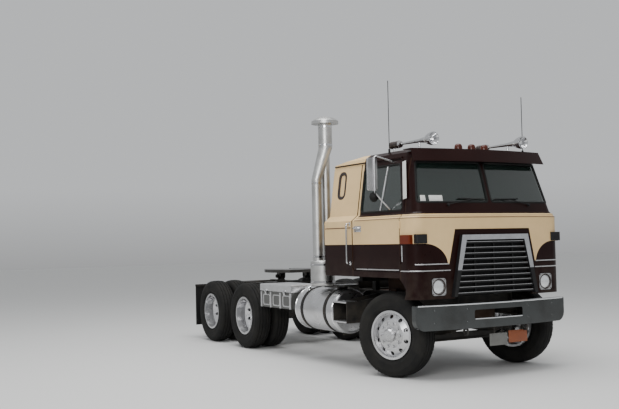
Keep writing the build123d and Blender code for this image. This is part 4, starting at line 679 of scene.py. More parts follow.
def flat_side_spot(ahead, z, side):
    corner_x, corner_y, corner = cab_plan(z)[2:]
    past = min(max(AXLE_X + ahead - corner_x, 0.0), corner * 0.999)
    reach = math.sqrt(corner ** 2 - past ** 2)
    return at(ahead, side * (corner_y + reach), z), Vector((past, side * reach, 0)).normalized()


def tipped(spot, upper):
    """A spot's outward direction, leaned back with the surface between it and the spot over it."""
    point, out = spot
    rise = (upper[0] - point).dot(out) / max(upper[0].z - point.z, 1e-6)
    return point, Vector((out.x, out.y, -rise)).normalized()


def front_spot(y, z):
    """(point, outward direction) on the cab's front, its corners included."""
    return tipped(flat_front_spot(y, z), flat_front_spot(y, z + 0.01))


def side_spot(ahead, z, side):
    """(point, outward direction) on the cab's side, its corner included."""
    return tipped(flat_side_spot(ahead, z, side), flat_side_spot(ahead, z + 0.01, side))


def moved(spots, distance):
    """Spots moved out, or in where the distance is negative."""
    return [(point + out * distance, out) for point, out in spots]


def spread(start, end, step=0.04):
    """Numbers from start to end, both included, no further apart than the step."""
    count = max(1, math.ceil(abs(end - start) / step))
    return [start + (end - start) * i / count for i in range(count + 1)]


def traced(points, radius, spot, step=0.06):
    """Spots along a closed outline of (across or ahead, up) points with rounded corners."""
    run = rounded([(u, v, 0) for u, v in points], radius, 5, True)
    made = []
    for start, end in zip(run, run[1:] + run[:1]):
        count = max(1, math.ceil((end - start).length / step))
        made += [start.lerp(end, k / count) for k in range(count)]
    return [spot(place.x, place.y) for place in made]


def oblong(across, up, wide, high):
    """Corners of an upright rectangle, from its middle and its two halves."""
    return [(across + a * wide, up + b * high) for a, b in ((-1, -1), (1, -1), (1, 1), (-1, 1))]


def rear_facing(ahead):
    """Gives the spot at (y, z) on an upright face that looks back."""
    return lambda y, z: (at(ahead, y, z), BACK)


def side_run(start, end, z, side, step=0.04):
    """Spots at one height along the cab's side."""
    return [side_spot(ahead, z, side) for ahead in spread(start, end, step)]


def corner_run(z, side, from_y, to_ahead):
    """Spots at one height from a place on the front, round the corner, to a place on the side."""
    corner_x, corner_y, corner = cab_plan(z)[2:]
    turn = corner * math.sqrt(0.5)
    across = [front_spot(side * y, z) for y in spread(from_y, corner_y + turn)]
    return across + side_run(corner_x + turn - AXLE_X, to_ahead, z, side)[1:]


def strip(width, thick):
    """Section of a flat strip with eased edges, as (across, out) points."""
    half, ease = width / 2, min(thick, width / 4) * 0.7
    edge = [(-half, -0.002), (-half, thick * 0.5), (ease - half, thick)]
    return edge + [(-across, out) for across, out in reversed(edge)]


def half_round(width, thick, steps=6):
    """Section of a half-round moulding."""
    turns = [math.pi * i / steps for i in range(steps + 1)]
    arc = [(-math.cos(turn) * width / 2, math.sin(turn) * thick) for turn in turns]
    return [(-width / 2, -0.002)] + arc + [(width / 2, -0.002)]


GASKET = [(-0.009, -0.0165), (-0.009, -0.006), (-0.004, 0.003), (0.004, 0.006), (0.012, 0.004), (0.017, -0.002)]
WINDSHIELD = ((0.032, 2.128), (1.035, 2.128), (0.945, 2.622), (0.032, 2.622))
DOOR_WINDOW = ((-0.59, 2.045), (0.33, 2.045), (0.205, 2.61), (-0.59, 2.61))
PORTHOLE = oblong(-1.115, 2.425, 0.075, 0.16)
RIVET = [(0.007, 0), (0.006, 0.0035), (0.003, 0.005)]


def add_window_trim(hand, side):
    """Rubber round every pane, the door window's bar, and the porthole's ring and shade."""
    on_side = lambda ahead, z: side_spot(ahead, z, side)
    windshield = traced([(side * y, z) for y, z in WINDSHIELD], 0.035, front_spot)
    bar = [side_spot(-0.155 + 0.15 * (z - 2.045), z, side) for z in spread(2.055, 2.602)]
    porthole = traced(PORTHOLE, 0.075, on_side, 0.03)
    wide_gasket = [(across * 1.9, out) for across, out in GASKET]
    Piece(f"windshield_gasket_{hand}", "cab", "black_rubber").sweep(windshield, GASKET, True).done()
    Piece(f"door_gasket_{hand}", f"{hand}_door", "black_rubber").sweep(
        traced(DOOR_WINDOW, 0.045, on_side), GASKET, True).done()
    Piece(f"door_window_bar_{hand}", f"{hand}_door", "bright_metal").sweep(
        moved(bar, -0.016), half_round(0.02, 0.017)).done()
    Piece(f"porthole_ring_{hand}", "cab", "black_rubber", "dark_trim").sweep(porthole, wide_gasket, True).done()
    Piece(f"porthole_shade_{hand}", "cab", "cream_paint").plate(moved(porthole, -0.0158), 0.003).done()


def add_windshield_tags():
    """Two blank tags behind the windshield's lower edge."""
    tags = Piece("windshield_tags", "cab", "cream_paint", "plate_white")
    for inner, outer in ((-0.99, -0.92), (-0.87, -0.685)):
        tags.sweep(moved([front_spot(y, 2.178) for y in spread(inner, outer, 0.015)], -0.0155), strip(0.074, 0.001))
    tags.done()


def add_mouldings(hand, side):
    """Belt moulding with a thin brown strip under it, bright lines, window deflector, gutter, a brown strip painted as
    the shadow line at the sleeper's crease, and rivets.
    """
    for kind, body in (("cab", "cab"), ("door", f"{hand}_door")):
        # A thin brown strip runs just under the belt moulding
        for label, z, material, section in (
            ("belt", 1.972, None, half_round(0.026, 0.009)), ("under_belt_line", 1.94, "brown_line", strip(0.01, 0.0018)),
        ):
            run = corner_run(z, side, 0.0, 0.412) if kind == "cab" else side_run(0.388, -0.6, z, side)
            Piece(f"{label}_{kind}_{hand}", body, "cream_paint", material).sweep(run, section).done()
    bright = half_round(0.015, 0.007)
    line = Piece(f"nose_lines_{hand}", "cab", "bright_metal")
    line.sweep([front_spot(side * y, BAND_Z) for y in spread(0.69, 1.125)], bright)
    line.sweep(corner_run(1.308, side, 0.672, 0.412), bright)
    line.sweep([side_spot(0.44, z, side) for z in spread(1.42, 1.61)], half_round(0.018, 0.006)).done()
    Piece(f"door_line_{hand}", f"{hand}_door", "bright_metal").sweep(side_run(0.38, -0.56, 1.318, side), bright).done()
    by_pillar = lambda z: side_spot(0.402 - 0.19 * (z - 2.17), z, side)
    Piece(f"pillar_deflector_{hand}", "cab", "cream_paint", "plate_white").sweep(
        moved([by_pillar(z) for z in spread(2.17, 2.632)], 0.022), strip(0.07, 0.006)).done(bevel=0.002)
    posts = Piece(f"deflector_posts_{hand}", "cab", "frame_black")
    for point, out in (by_pillar(2.23), by_pillar(2.57)):
        posts.drum(point - out * 0.002, point + out * 0.024, 0.008, 10)
    posts.done()
    Piece(f"roof_gutter_{hand}", "cab", "maroon_paint").sweep(
        side_run(0.24, -1.33, 2.692, side, 0.08), strip(0.018, 0.015)).done()
    # Brown strip painted as the shadow line at the foot of the sleeper's recess
    Piece(f"sleeper_crease_shadow_{hand}", "cab", "cream_paint", "brown_line").sweep(
        side_run(-0.69, -1.34, 1.85, side, 0.08), half_round(0.014, 0.004)).done()
    rivets = Piece(f"sleeper_rivets_{hand}", "cab", "cream_paint", "two_tone_paint")
    for z in spread(1.27, 2.62, 0.075):
        point, out = side_spot(-1.352, z, side)
        rivets.lathe(point - out * 0.001, out, RIVET, 8, FAR)
    rivets.done()


def add_wiper(hand, side):
    """Wiper parked along the windshield's sill."""
    wiper = Piece(f"wiper_{hand}", "cab", "frame_black")
    point, out = front_spot(side * 0.64, 2.088)
    wiper.drum(point - out * 0.002, point + out * 0.03, 0.016, 14)
    arm = [front_spot(side * y, 2.088 + 0.075 * (0.64 - y) / 0.4) for y in spread(0.64, 0.24, 0.05)]
    wiper.tube([p + o * (0.026 - 0.012 * i / len(arm)) for i, (p, o) in enumerate(arm)], 0.005, 8)
    blade = [front_spot(side * y, 2.158 + 0.02 * (y - 0.06)) for y in spread(0.07, 0.48, 0.05)]
    wiper.tube([p + o * 0.004 for p, o in blade], 0.006, 6, flat=1.4)
    wiper.tube([p - o * 0.01 for p, o in blade], 0.003, 6)
    for p, o in (blade[1], blade[-2]):
        wiper.drum(p - o * 0.01, p + o * 0.012, 0.004, 8)
    wiper.done()


def add_door_fittings(hand, side):
    """Handle, lock, hinges and a grab rail by the door."""
    handle = Piece(f"door_handle_{hand}", f"{hand}_door", "chrome")
    handle.box(at(-0.61, side * 1.174, 1.792), at(-0.44, side * 1.18, 1.868), 0.0025)
    grip = [
        at(ahead, side * y, 1.842) for ahead, y in ((-0.595, 1.178), (-0.59, 1.205), (-0.475, 1.205), (-0.465, 1.178))
    ]
    handle.tube(rounded(grip, 0.018, 4), 0.0085, 10, flat=1.3, up=UP)
    handle.lathe(at(-0.47, side * 1.178, 1.808), (0, side, 0), [
        (0.014, 0), (0.014, 0.004), (0.011, 0.006), (0, 0.006),
    ], 16).done()
    rail = Piece(f"grab_rail_{hand}", "cab", "chrome")
    run = [at(-0.715, side * y, z) for y, z in ((1.172, 1.39), (1.228, 1.39), (1.228, 1.9), (1.172, 1.9))]
    rail.tube(rounded(run, 0.03), 0.012, 12)
    for z in (1.39, 1.9):
        rail.lathe(at(-0.715, side * 1.174, z), (0, side, 0), [
            (0.026, 0), (0.026, 0.004), (0.019, 0.008), (0.012, 0.009),
        ], 16)
    rail.done()
    hinge = Piece(f"door_hinges_{hand}", "cab", "cream_paint", "two_tone_paint")
    for z in (1.44, 1.86):
        hinge.drum(at(0.412, side * 1.181, z - 0.045), at(0.412, side * 1.181, z + 0.045), 0.008, 12)
    hinge.done()


def add_mirror_glasses(hand, side):
    """Silvered glass on the mirror's rear face, and a small round mirror under it on the same tube."""
    glass = Piece(f"mirror_glass_{hand}", f"{hand}_door", "chrome", "reflector")
    glass.plate(traced(oblong(side * 1.29, 2.495, 0.058, 0.192), 0.022, rear_facing(-0.004)), 0.0015)
    centre = at(0.038, side * 1.27, 2.215)
    glass.lathe(centre + BACK * 0.03, BACK, [
        (0.056, -0.001), (0.05, 0.004), (0.03, 0.009), (0.008, 0.011),
    ], 28, FAR).done()
    shell = Piece(f"round_mirror_{hand}", f"{hand}_door", "black_rubber")
    shell.lathe(centre + BACK * 0.032, AHEAD, [
        (0.06, -0.001), (0.063, 0.003), (0.06, 0.016), (0.04, 0.032), (0.016, 0.04), (0.012, 0.046),
    ], 28, FAR)
    foot = centre + AHEAD * 0.012
    shell.drum(foot, foot + UP * 0.075, 0.006, 8).done()


ROOF_Z, HORN_Y, HORN_Z = 2.79, 0.72, 2.905


def add_lamps():
    """Ribbed headlamp lenses with rings and screws, and the domes of the roof lamps."""
    lens = Piece("headlamp_lenses_ribbed", "cab", "lamp_glass", "headlamp_glass")
    rings = Piece("headlamp_rings", "cab", "chrome", "dark_trim")
    for side in (-1, 1):
        centre = at(0.702, side * 0.847, 1.116)
        lens.lathe(centre, AHEAD, [
            (0.0855, -0.01), (0.0855, 0.002), (0.079, 0.007), (0.06, 0.012), (0.035, 0.0155), (0.012, 0.017),
            (0, 0.017),
        ], 40)
        rings.lathe(centre + AHEAD * 0.014, AHEAD, [
            (0.0835, -0.012), (0.0835, 0.002), (0.087, 0.007), (0.093, 0.008), (0.098, 0.004), (0.099, 0.001),
        ], 40)
        for y, z in ((-0.085, -0.085), (0.085, -0.085), (-0.085, 0.085), (0.085, 0.085)):
            screw = centre + Vector((0.0155, y, z))
            rings.lathe(screw, AHEAD, [(0.0065, 0), (0.006, 0.003), (0.003, 0.0042)], 10, FAR)
    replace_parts(lens.done(), "headlamp_lenses")
    rings.done()
    domes = Piece("roof_lamp_domes", "cab", "amber_lens", "roof_lens")
    for ahead, y in ((0.358, 0.21), (0.36, 0.0), (0.358, -0.21)):
        domes.lathe(at(ahead, y, ROOF_Z), UP, [
            (0.058, -0.02), (0.058, 0.01), (0.052, 0.016), (0.05, 0.045), (0.044, 0.066), (0.03, 0.079), (0.01, 0.084),
        ], 28, FAR)
    domes.done()


def add_horn(hand, side):
    """Bases, drivers and bell of one roof horn."""
    base = Piece(f"horn_bases_{hand}", "cab", "chrome")
    for ahead in (-0.31, 0.23):
        base.lathe(at(ahead, side * HORN_Y, ROOF_Z), UP, [
            (0.036, -0.03), (0.036, 0.008), (0.028, 0.014), (0.013, 0.018),
        ], 20)
    base.done()
    Piece(f"horn_drivers_{hand}", "cab", "chrome", "dark_trim").lathe(at(-0.369, side * HORN_Y, HORN_Z), AHEAD, [
        (0.02, 0.0), (0.044, 0.003), (0.0485, 0.012), (0.0485, 0.06), (0.0465, 0.064), (0.0465, 0.12),
        (0.0485, 0.124), (0.0485, 0.176), (0.04, 0.192), (0.024, 0.212), (0.018, 0.222),
    ], 28, NEAR).done()
    Piece(f"horn_bells_{hand}", "cab", "chrome").lathe(at(0.53, side * HORN_Y, HORN_Z), BACK, [
        (0.074, 0.006), (0.078, 0.0), (0.0815, 0.002), (0.0825, 0.012), (0.0815, 0.036), (0.0765, 0.07), (0.066, 0.104),
        (0.0525, 0.134), (0.039, 0.166), (0.03, 0.21), (0.025, 0.29),
    ], 36).done()


def add_grille_screen():
    """Dark mesh behind the bars, with a finer weave in its material."""
    low, high = (GRILLE_LOW[1] - 0.011, GRILLE_LOW[0] + 0.028), (GRILLE_HIGH[1] - 0.004, GRILLE_HIGH[0] - 0.004)
    corners = [(-low[0], low[1]), low, high, (-high[0], high[1])]
    screen = Piece("grille_screen", "cab", "frame_black", "grille_mesh")
    screen.run([[at(ahead, y, z) for y, z in corners] for ahead in (0.704, 0.707)], False).done(smooth=False)


BUMPER_BOW, BUMPER_FRONT = 6.39, 0.8


def bumper_spot(y, z):
    """(point, outward direction) on the bumper's bowed face."""
    middle = AXLE_X + BUMPER_FRONT - BUMPER_BOW
    x = middle + math.sqrt(BUMPER_BOW ** 2 - y ** 2)
    return Vector((x, y, z)), Vector((x - middle, y, 0)).normalized()


def add_bumper_fittings():
    """Bright lips, bolts, tow eyes and two bare plates hung under the bumper."""
    lip = Piece("bumper_lips", "chassis", "chrome", "reflector")
    for half, z, section in ((1.15, 0.897, half_round(0.016, 0.005)), (0.372, 0.716, half_round(0.013, 0.004))):
        lip.sweep([bumper_spot(y, z) for y in spread(-half, half, 0.06)], section)
    lip.done()
    bolts = Piece("bumper_bolts", "chassis", "chrome", "bumper_chrome_dark_reflection")
    for y in (-0.93, -0.48, 0.48, 0.93):
        for z in (0.69, 0.84):
            point, out = bumper_spot(y, z)
            bolts.lathe(point - out * 0.001, out, [(0.013, 0), (0.012, 0.003), (0.008, 0.006), (0.003, 0.007)], 18, FAR)
    bolts.done()
    eyes = Piece("tow_eyes", "chassis", "cast_steel")
    for side in (-1, 1):
        loop = [at(ahead, side * 0.47, z) for ahead, z in ((0.69, 0.6), (0.765, 0.6), (0.765, 0.535), (0.69, 0.535))]
        eyes.tube(rounded(loop, 0.03, closed=True), 0.013, closed=True)
    eyes.done()
    hanger = Piece("plate_hangers", "chassis", "frame_black")
    for y in (0.01, 0.13, 0.27, 0.45):
        hanger.box(at(0.678, y - 0.012, 0.5), at(0.682, y + 0.012, 0.64))
    hanger.done(bevel=0.001)
    for name, material, low_y, high_y, low_z in (
        ("white", "plate_grey", -0.07, 0.215, 0.362), ("orange", "plate_orange", 0.235, 0.54, 0.382),
    ):
        plate = Piece(f"bare_plate_{name}", "chassis", "bright_metal", material)
        plate.box(at(0.682, low_y, low_z), at(0.6855, high_y, low_z + 0.15), 0.0012)
        for y in (low_y + 0.05, high_y - 0.05):
            plate.bolt(at(0.6855, y, low_z + 0.132), AHEAD, 0.012, 0.006)
        plate.done()


TANK_FRONT, TANK_REAR, TANK_Y, TANK_Z, TANK_RADIUS = 1.175, 2.265, 0.88, 0.725, 0.3
STRAPS = (TANK_FRONT + 0.23, TANK_REAR - 0.23)
CAP_LEAN = math.radians(24)


def add_tank_fittings(hand, side):
    """End beads, filler cap, strap edges and bolts, and the treads of the steps."""
    trim = Piece(f"tank_trim_{hand}", "chassis", "chrome", "reflector")
    for behind, way in ((TANK_FRONT + 0.044, AHEAD), (TANK_REAR - 0.044, BACK)):
        trim.band(at(-behind, side * TANK_Y, TANK_Z), way, TANK_RADIUS, 0.01, 0.006, 48)
    out = Vector((0, side * math.sin(CAP_LEAN), math.cos(CAP_LEAN)))
    trim.lathe(at(-2.12, side * TANK_Y, TANK_Z) + out * (TANK_RADIUS - 0.004), out, [
        (0.056, 0), (0.056, 0.01), (0.044, 0.012), (0.044, 0.022), (0.052, 0.024), (0.052, 0.04), (0.046, 0.046),
        (0.01, 0.05),
    ], 28, FAR).done()
    straps = Piece(f"strap_edges_{hand}", "chassis", "black_rubber")
    for behind in STRAPS:
        for shift in (-0.031, 0.031):
            straps.band(at(shift - behind, side * TANK_Y, TANK_Z), AHEAD, TANK_RADIUS, 0.005, 0.005, 48)
        straps.bolt(at(-behind, side * (TANK_Y + 0.2), TANK_Z + 0.2291), (0, side, 1), 0.02, 0.012)
    straps.done()
    treads = Piece(f"step_treads_{hand}", "chassis", "bright_metal")

    def bar(ahead, near, width, low):
        treads.box(at(ahead - 0.008, side * near, low), at(ahead + 0.008, side * (near + width), low + 0.005), 0.0015)

    for z in (0.622, 0.882):
        for row in range(9):
            for near in (1.0, 1.062, 1.124):
                bar(0.03 + row * 0.036 - TANK_FRONT, near, 0.046, z - 0.001)
        edge = at(0.01 - TANK_FRONT, side * 1.178, z - 0.018), at(0.345 - TANK_FRONT, side * 1.186, z + 0.002)
        treads.box(*edge, 0.002)
    for row in range(7):
        for near in (0.785, 0.865, 0.945):
            bar(row * 0.042 - 0.02 - STRAPS[0], near, 0.055, 1.081)
    treads.done()


BOX_FRONT, BOX_REAR = -2.35, -3.35


def add_battery_fittings():
    """Latches, a bright lid edge, and pressed panels between the ribs of the battery box."""
    parts = Piece("battery_latches", "chassis", "chrome")
    for ahead in (BOX_FRONT - 0.2, BOX_REAR + 0.2):
        parts.box(at(ahead - 0.022, -1.192, 0.9), at(ahead + 0.022, -1.178, 0.975), 0.003)
        hasp = ((-0.014, -1.19, 0.965), (-0.014, -1.203, 0.935), (0.014, -1.203, 0.935), (0.014, -1.19, 0.965))
        parts.tube(rounded([at(ahead + along, y, z) for along, y, z in hasp], 0.008, 3), 0.004, 8)
    lid = [(at(ahead, -1.18, 0.952), RIGHT) for ahead in spread(BOX_REAR + 0.004, BOX_FRONT - 0.004, 0.3)]
    parts.sweep(lid, half_round(0.014, 0.004)).done()
    panels = Piece("battery_panels", "chassis", "bright_metal")
    for index in range(3):
        outline = oblong(BOX_FRONT - 0.1784 - 0.316 * index, 0.8125, 0.105, 0.0775)
        face = traced(outline, 0.035, lambda ahead, z: (at(ahead, -1.165, z), RIGHT))
        panels.sweep(face, half_round(0.018, 0.006), True)
    panels.done()


def add_stack_clamps():
    """Clamps round the stack's pipes and the air cleaner."""
    clamps = Piece("stack_clamps", "chassis", "chrome")
    for y, z, radius in (
        (-0.93, 3.04, 0.098), (-0.93, 3.3, 0.098), (-1.085, 1.47, 0.072), (-1.085, 2.5, 0.072),
        (-0.93, 1.47, 0.058), (-1.015, 1.12, 0.17), (-1.015, 1.36, 0.17),
    ):
        clamps.band(at(-1.7, y, z), UP, radius, 0.016, 0.014, 36)
        edge = y - radius
        clamps.box(at(-1.69, edge - 0.014, z - 0.01), at(-1.674, edge + 0.002, z + 0.01), 0.002)
        clamps.drum(at(-1.706, edge - 0.009, z), at(-1.66, edge - 0.009, z), 0.0045, 8)
    clamps.done()


def add_chassis_fittings():
    """Bolts along the rails, brake chambers, mud flap bolts, tail lamp rims and a bare rear plate."""
    bolts = Piece("rail_bolts", "chassis", "frame_black")
    for behind in (1.88, 2.9, 3.42, 4.59, 5.96):
        for side in (-1, 1):
            for shift in (-0.035, 0.035):
                for z in (0.79, 0.855, 0.92):
                    bolts.bolt(at(shift - behind, side * RAIL_HALF, z), (0, side, 0), 0.022, 0.012)
    bolts.done()
    chambers = Piece("brake_chambers", "chassis", "cast_steel")
    for axle, axle_x in DRIVE_AXLES:
        for side in (-1, 1):
            chambers.lathe((axle_x + 0.19, side * 0.4, 0.6), (0.25, side, 0), [
                (0.03, 0), (0.062, 0.006), (0.07, 0.02), (0.07, 0.07), (0.076, 0.074), (0.076, 0.084), (0.07, 0.088),
                (0.066, 0.14), (0.04, 0.156), (0.012, 0.158),
            ], 28, BOTH)
            chambers.drum((axle_x + 0.15, side * 0.44, 0.56), (axle_x + 0.19, side * 0.44, 0.56), 0.012, 10)
    chambers.done()
    flaps = Piece("flap_bolts", "chassis", "bright_metal")
    rims = Piece("tail_lamp_rims", "chassis", "chrome")
    for side in (-1, 1):
        for y in (0.7, 0.85, 1.0, 1.12):
            flaps.bolt(at(-5.9005, side * y, 0.935), BACK, 0.018, 0.01)
        outline = oblong(side * 0.3, 0.921, 0.088, 0.048)
        rims.sweep(traced(outline, 0.022, rear_facing(-6.036)), strip(0.012, 0.003), True)
    flaps.done()
    rims.done()
    Piece("rear_bare_plate", "chassis", "bright_metal", "plate_white").box(
        at(-5.998, -0.15, 0.845), at(-5.993, 0.15, 0.945), 0.001).done()


def add_rear_wall_fittings():
    """Pressed ribs, a seam and rivets on the sleeper's rear wall, and the couplings on the frame behind it."""
    wall = rear_facing(-CAB_REAR)
    ribs = Piece("rear_wall_ribs", "cab", "cream_paint", "two_tone_paint")
    for y in (-0.72, -0.36, 0.0, 0.36, 0.72):
        ribs.sweep([wall(y, z) for z in spread(2.02, 2.56, 0.1)], half_round(0.03, 0.007))
    ribs.sweep([wall(y, 1.9) for y in spread(-1.08, 1.08, 0.15)], half_round(0.018, 0.005))
    for y in spread(-1.05, 1.05, 0.075):
        ribs.lathe(at(0.001 - CAB_REAR, y, 1.29), BACK, RIVET, 8, FAR)
    ribs.done()
    bracket = Piece("coupling_bracket", "chassis", "frame_black")
    bracket.box(at(-1.905, -0.3, 0.988), at(-1.898, 0.3, 1.11), 0.002)
    bracket.box(at(-1.95, -0.3, 0.988), at(-1.898, 0.3, 0.994), 0.001).done()
    for name, y, slot in (("service", -0.16, "amber_lens"), ("supply", 0.16, "red_lens")):
        head = Piece(f"air_coupling_{name}", "chassis", slot)
        head.lathe(at(-1.904, y, 1.055), (-1, 0, 0.15), [
            (0.016, 0), (0.016, 0.02), (0.024, 0.024), (0.024, 0.036), (0.034, 0.04), (0.036, 0.052), (0.03, 0.06),
            (0.012, 0.062),
        ], 20, FAR)
        head.box(at(-1.956, y - 0.02, 1.086), at(-1.93, y + 0.02, 1.098), 0.003).done()
    Piece("lamp_socket", "chassis", "bright_metal").lathe(at(-1.904, 0, 1.055), BACK, [
        (0.03, 0), (0.03, 0.004), (0.024, 0.008), (0.024, 0.034), (0.027, 0.036), (0.027, 0.042), (0.01, 0.044),
    ], 24, FAR).done()


ENGINE_TOP = 1.48


def add_engine_fittings():
    """Rocker covers, air pipe, hoses, manifolds and filters on the plain engine block, seen under the tilted cab."""
    covers = Piece("rocker_covers", "chassis", "cast_steel")
    for side in (-1, 1):
        y = side * 0.18
        for ahead in (0.27, -0.15, -0.57):
            covers.box(at(ahead - 0.39, y - 0.085, ENGINE_TOP), at(ahead, y + 0.085, ENGINE_TOP + 0.062), 0.014)
            for along in (0.08, 0.31):
                covers.bolt(at(ahead - along, y, ENGINE_TOP + 0.062), UP, 0.022, 0.012)
    covers.done()
    pipe = Piece("air_pipe", "chassis", "bright_metal")
    pipe_z = ENGINE_TOP + 0.045
    pipe.tube([at(-0.96, 0, pipe_z), at(0.2, 0, pipe_z)], 0.048, 24)
    for ahead in (0.06, -0.36, -0.78):
        for side in (-1, 1):
            pipe.tube([at(ahead, side * 0.03, pipe_z), at(ahead, side * 0.1, ENGINE_TOP + 0.03)], 0.024, 16)
    pipe.done()
    hoses = Piece("coolant_hoses", "chassis", "black_rubber")
    manifolds = Piece("exhaust_manifolds", "chassis", "cast_steel")
    filters = Piece("oil_filters", "chassis", "frame_black")
    for side in (-1, 1):
        bend = [at(ahead, side * 0.265, z) for ahead, z in ((0.25, 1.44), (0.36, 1.44), (0.36, 1.36), (0.43, 1.36))]
        hoses.tube(rounded(bend, 0.035), 0.022, 16)
        manifolds.tube([at(0.24, side * 0.385, 1.25), at(-0.9, side * 0.385, 1.25)], 0.04, 20)
        for ahead in (0.18, -0.06, -0.3, -0.54, -0.78):
            manifolds.tube([at(ahead, side * 0.325, 1.29), at(ahead, side * 0.385, 1.25)], 0.028, 14)
        for ahead in (-0.42, -0.56):
            filters.lathe(at(ahead, side * 0.38, 1.19), (0, 0, -1), [
                (0.02, 0), (0.046, 0.004), (0.048, 0.012), (0.048, 0.15), (0.04, 0.158), (0.012, 0.16),
            ], 24, BOTH)
            mount = at(ahead - 0.04, side * 0.355 - 0.03, 1.185), at(ahead + 0.04, side * 0.355 + 0.045, 1.2)
            filters.box(*mount, 0.003)
    hoses.done()
    manifolds.done()
    filters.done()
    Piece("oil_filler", "chassis", "bright_metal").lathe(at(-0.76, -0.18, ENGINE_TOP + 0.06), UP, [
        (0.022, 0), (0.022, 0.02), (0.034, 0.022), (0.034, 0.038), (0.028, 0.042), (0.01, 0.043),
    ], 24, FAR).done()


def add_release_handle():
    """Release handle of the fifth wheel."""
    run = [(x, y, 1.16) for x, y in ((-1.65, 0.3), (-1.65, 0.52), (-1.65, 0.56), (-1.7, 0.58), (-1.73, 0.58))]
    Piece("release_handle", "fifth_wheel", "frame_black").tube(rounded(run, 0.03), 0.01).done()


def add_cab_inside():
    """Gauges on the dashboard, the shift lever and the pedals."""
    Piece("gauge_panel", "cab", "cab_trim").box(at(0.286, 0.59, 1.84), at(0.304, 0.97, 1.975), 0.006).done()
    dials = Piece("gauges", "cab", "chrome")
    faces = Piece("gauge_faces", "cab", "black_rubber")
    for y, z, radius in (
        (0.7, 1.912, 0.042), (0.86, 1.912, 0.042), (0.78, 1.935, 0.026), (0.78, 1.878, 0.026), (0.625, 1.935, 0.022),
        (0.625, 1.88, 0.022), (0.938, 1.935, 0.022), (0.938, 1.88, 0.022),
    ):
        middle = at(0.287, y, z)
        dials.lathe(middle, BACK, [(radius, -0.002), (radius, 0.008), (radius - 0.003, 0.01), (radius - 0.006, 0.004)])
        faces.lathe(middle, BACK, [(radius - 0.005, -0.001), (radius - 0.005, 0.003)], 24, FAR)
        dials.box(at(0.283, y - 0.0012, z - 0.002), at(0.2836, y + 0.0012, z + radius * 0.72))
    dials.done()
    faces.done()
    lever = Piece("shift_lever", "cab", "cab_trim")
    lever.lathe(at(-0.165, 0.44, 1.7), UP, [
        (0.075, 0), (0.07, 0.012), (0.056, 0.022), (0.06, 0.034), (0.046, 0.046), (0.048, 0.058), (0.03, 0.074),
        (0.012, 0.09),
    ])
    lever.tube(rounded([at(-0.165, 0.44, 1.78), at(-0.185, 0.44, 1.9), at(-0.155, 0.45, 2.08)], 0.06, 6), 0.009)
    lever.lathe(at(-0.155, 0.45, 2.07), (0, 0.05, 1), [
        (0.01, 0), (0.024, 0.012), (0.03, 0.034), (0.026, 0.056), (0.012, 0.066),
    ], 20, FAR).done()
    pedals = Piece("pedals", "cab", "black_rubber")
    for y, width in ((0.64, 0.07), (0.79, 0.085), (0.93, 0.06)):
        pedals.box(at(0.27, y - width / 2, 1.42), at(0.29, y + width / 2, 1.52), 0.005)
        pedals.tube(rounded([at(0.288, y, 1.48), at(0.33, y, 1.56), at(0.345, y, 1.715)], 0.05, 4), 0.009, 8)
    pedals.done()


SEAM_DEPTH, SEAM_WIDTH, PIPING_RADIUS, RIM_STEPS = 0.16, 0.035, 0.0045, 24


def cushion(name, slot, middle, across, along, size, lines, cross_lines=(), pull=0.03, crown=0.25, detail=(36, 36)):
    """Stuffed form: crowned faces, sides pulled in between the corners, sewn channels and a round seam."""
    across, along = Vector(across), Vector(along)
    up = across.cross(along)
    wide, long, thick = (value / 2 for value in size)
    piece = Piece(name, "cab", slot)

    def spot(u, v, face):
        body = max(0.0, 1 - abs(u) ** 7) ** 0.38 * max(0.0, 1 - abs(v) ** 7) ** 0.38
        swell = (1 - crown) + crown * (1 - u * u) * (1 - v * v)
        for off in [v - line for line in lines] + [u - line for line in cross_lines]:
            swell -= SEAM_DEPTH * math.exp(-(off / SEAM_WIDTH) ** 2)
        side_u = u * wide * (1 - pull * (1 - v * v) * abs(u) ** 3)
        side_v = v * long * (1 - pull * (1 - u * u) * abs(v) ** 3)
        low = 0.92 if face < 0 else 1.0
        return Vector(middle) + across * side_u + along * side_v + up * (face * low * thick * body * swell)

    def eased(count):
        """Numbers from -1 to 1, closer together at the ends."""
        spans = [2 * i / count - 1 for i in range(count + 1)]
        return [math.sin(t * math.pi / 2) * 0.35 + t * 0.65 for t in spans]

    for face in (1, -1):
        piece.skin([[spot(u, v, face) for u in eased(detail[0])] for v in eased(detail[1])], closed_rings=False)
    bmesh.ops.remove_doubles(piece.mesh, verts=piece.mesh.verts, dist=0.00005)
    edge = eased(RIM_STEPS)[:-1]
    rim = [(u, -1) for u in edge] + [(1, v) for v in edge]
    rim += [(-u, -v) for u, v in rim]
    piece.tube([spot(u * 0.998, v * 0.998, 0) for u, v in rim], PIPING_RADIUS, 6, closed=True)
    made = piece.done()
    return made


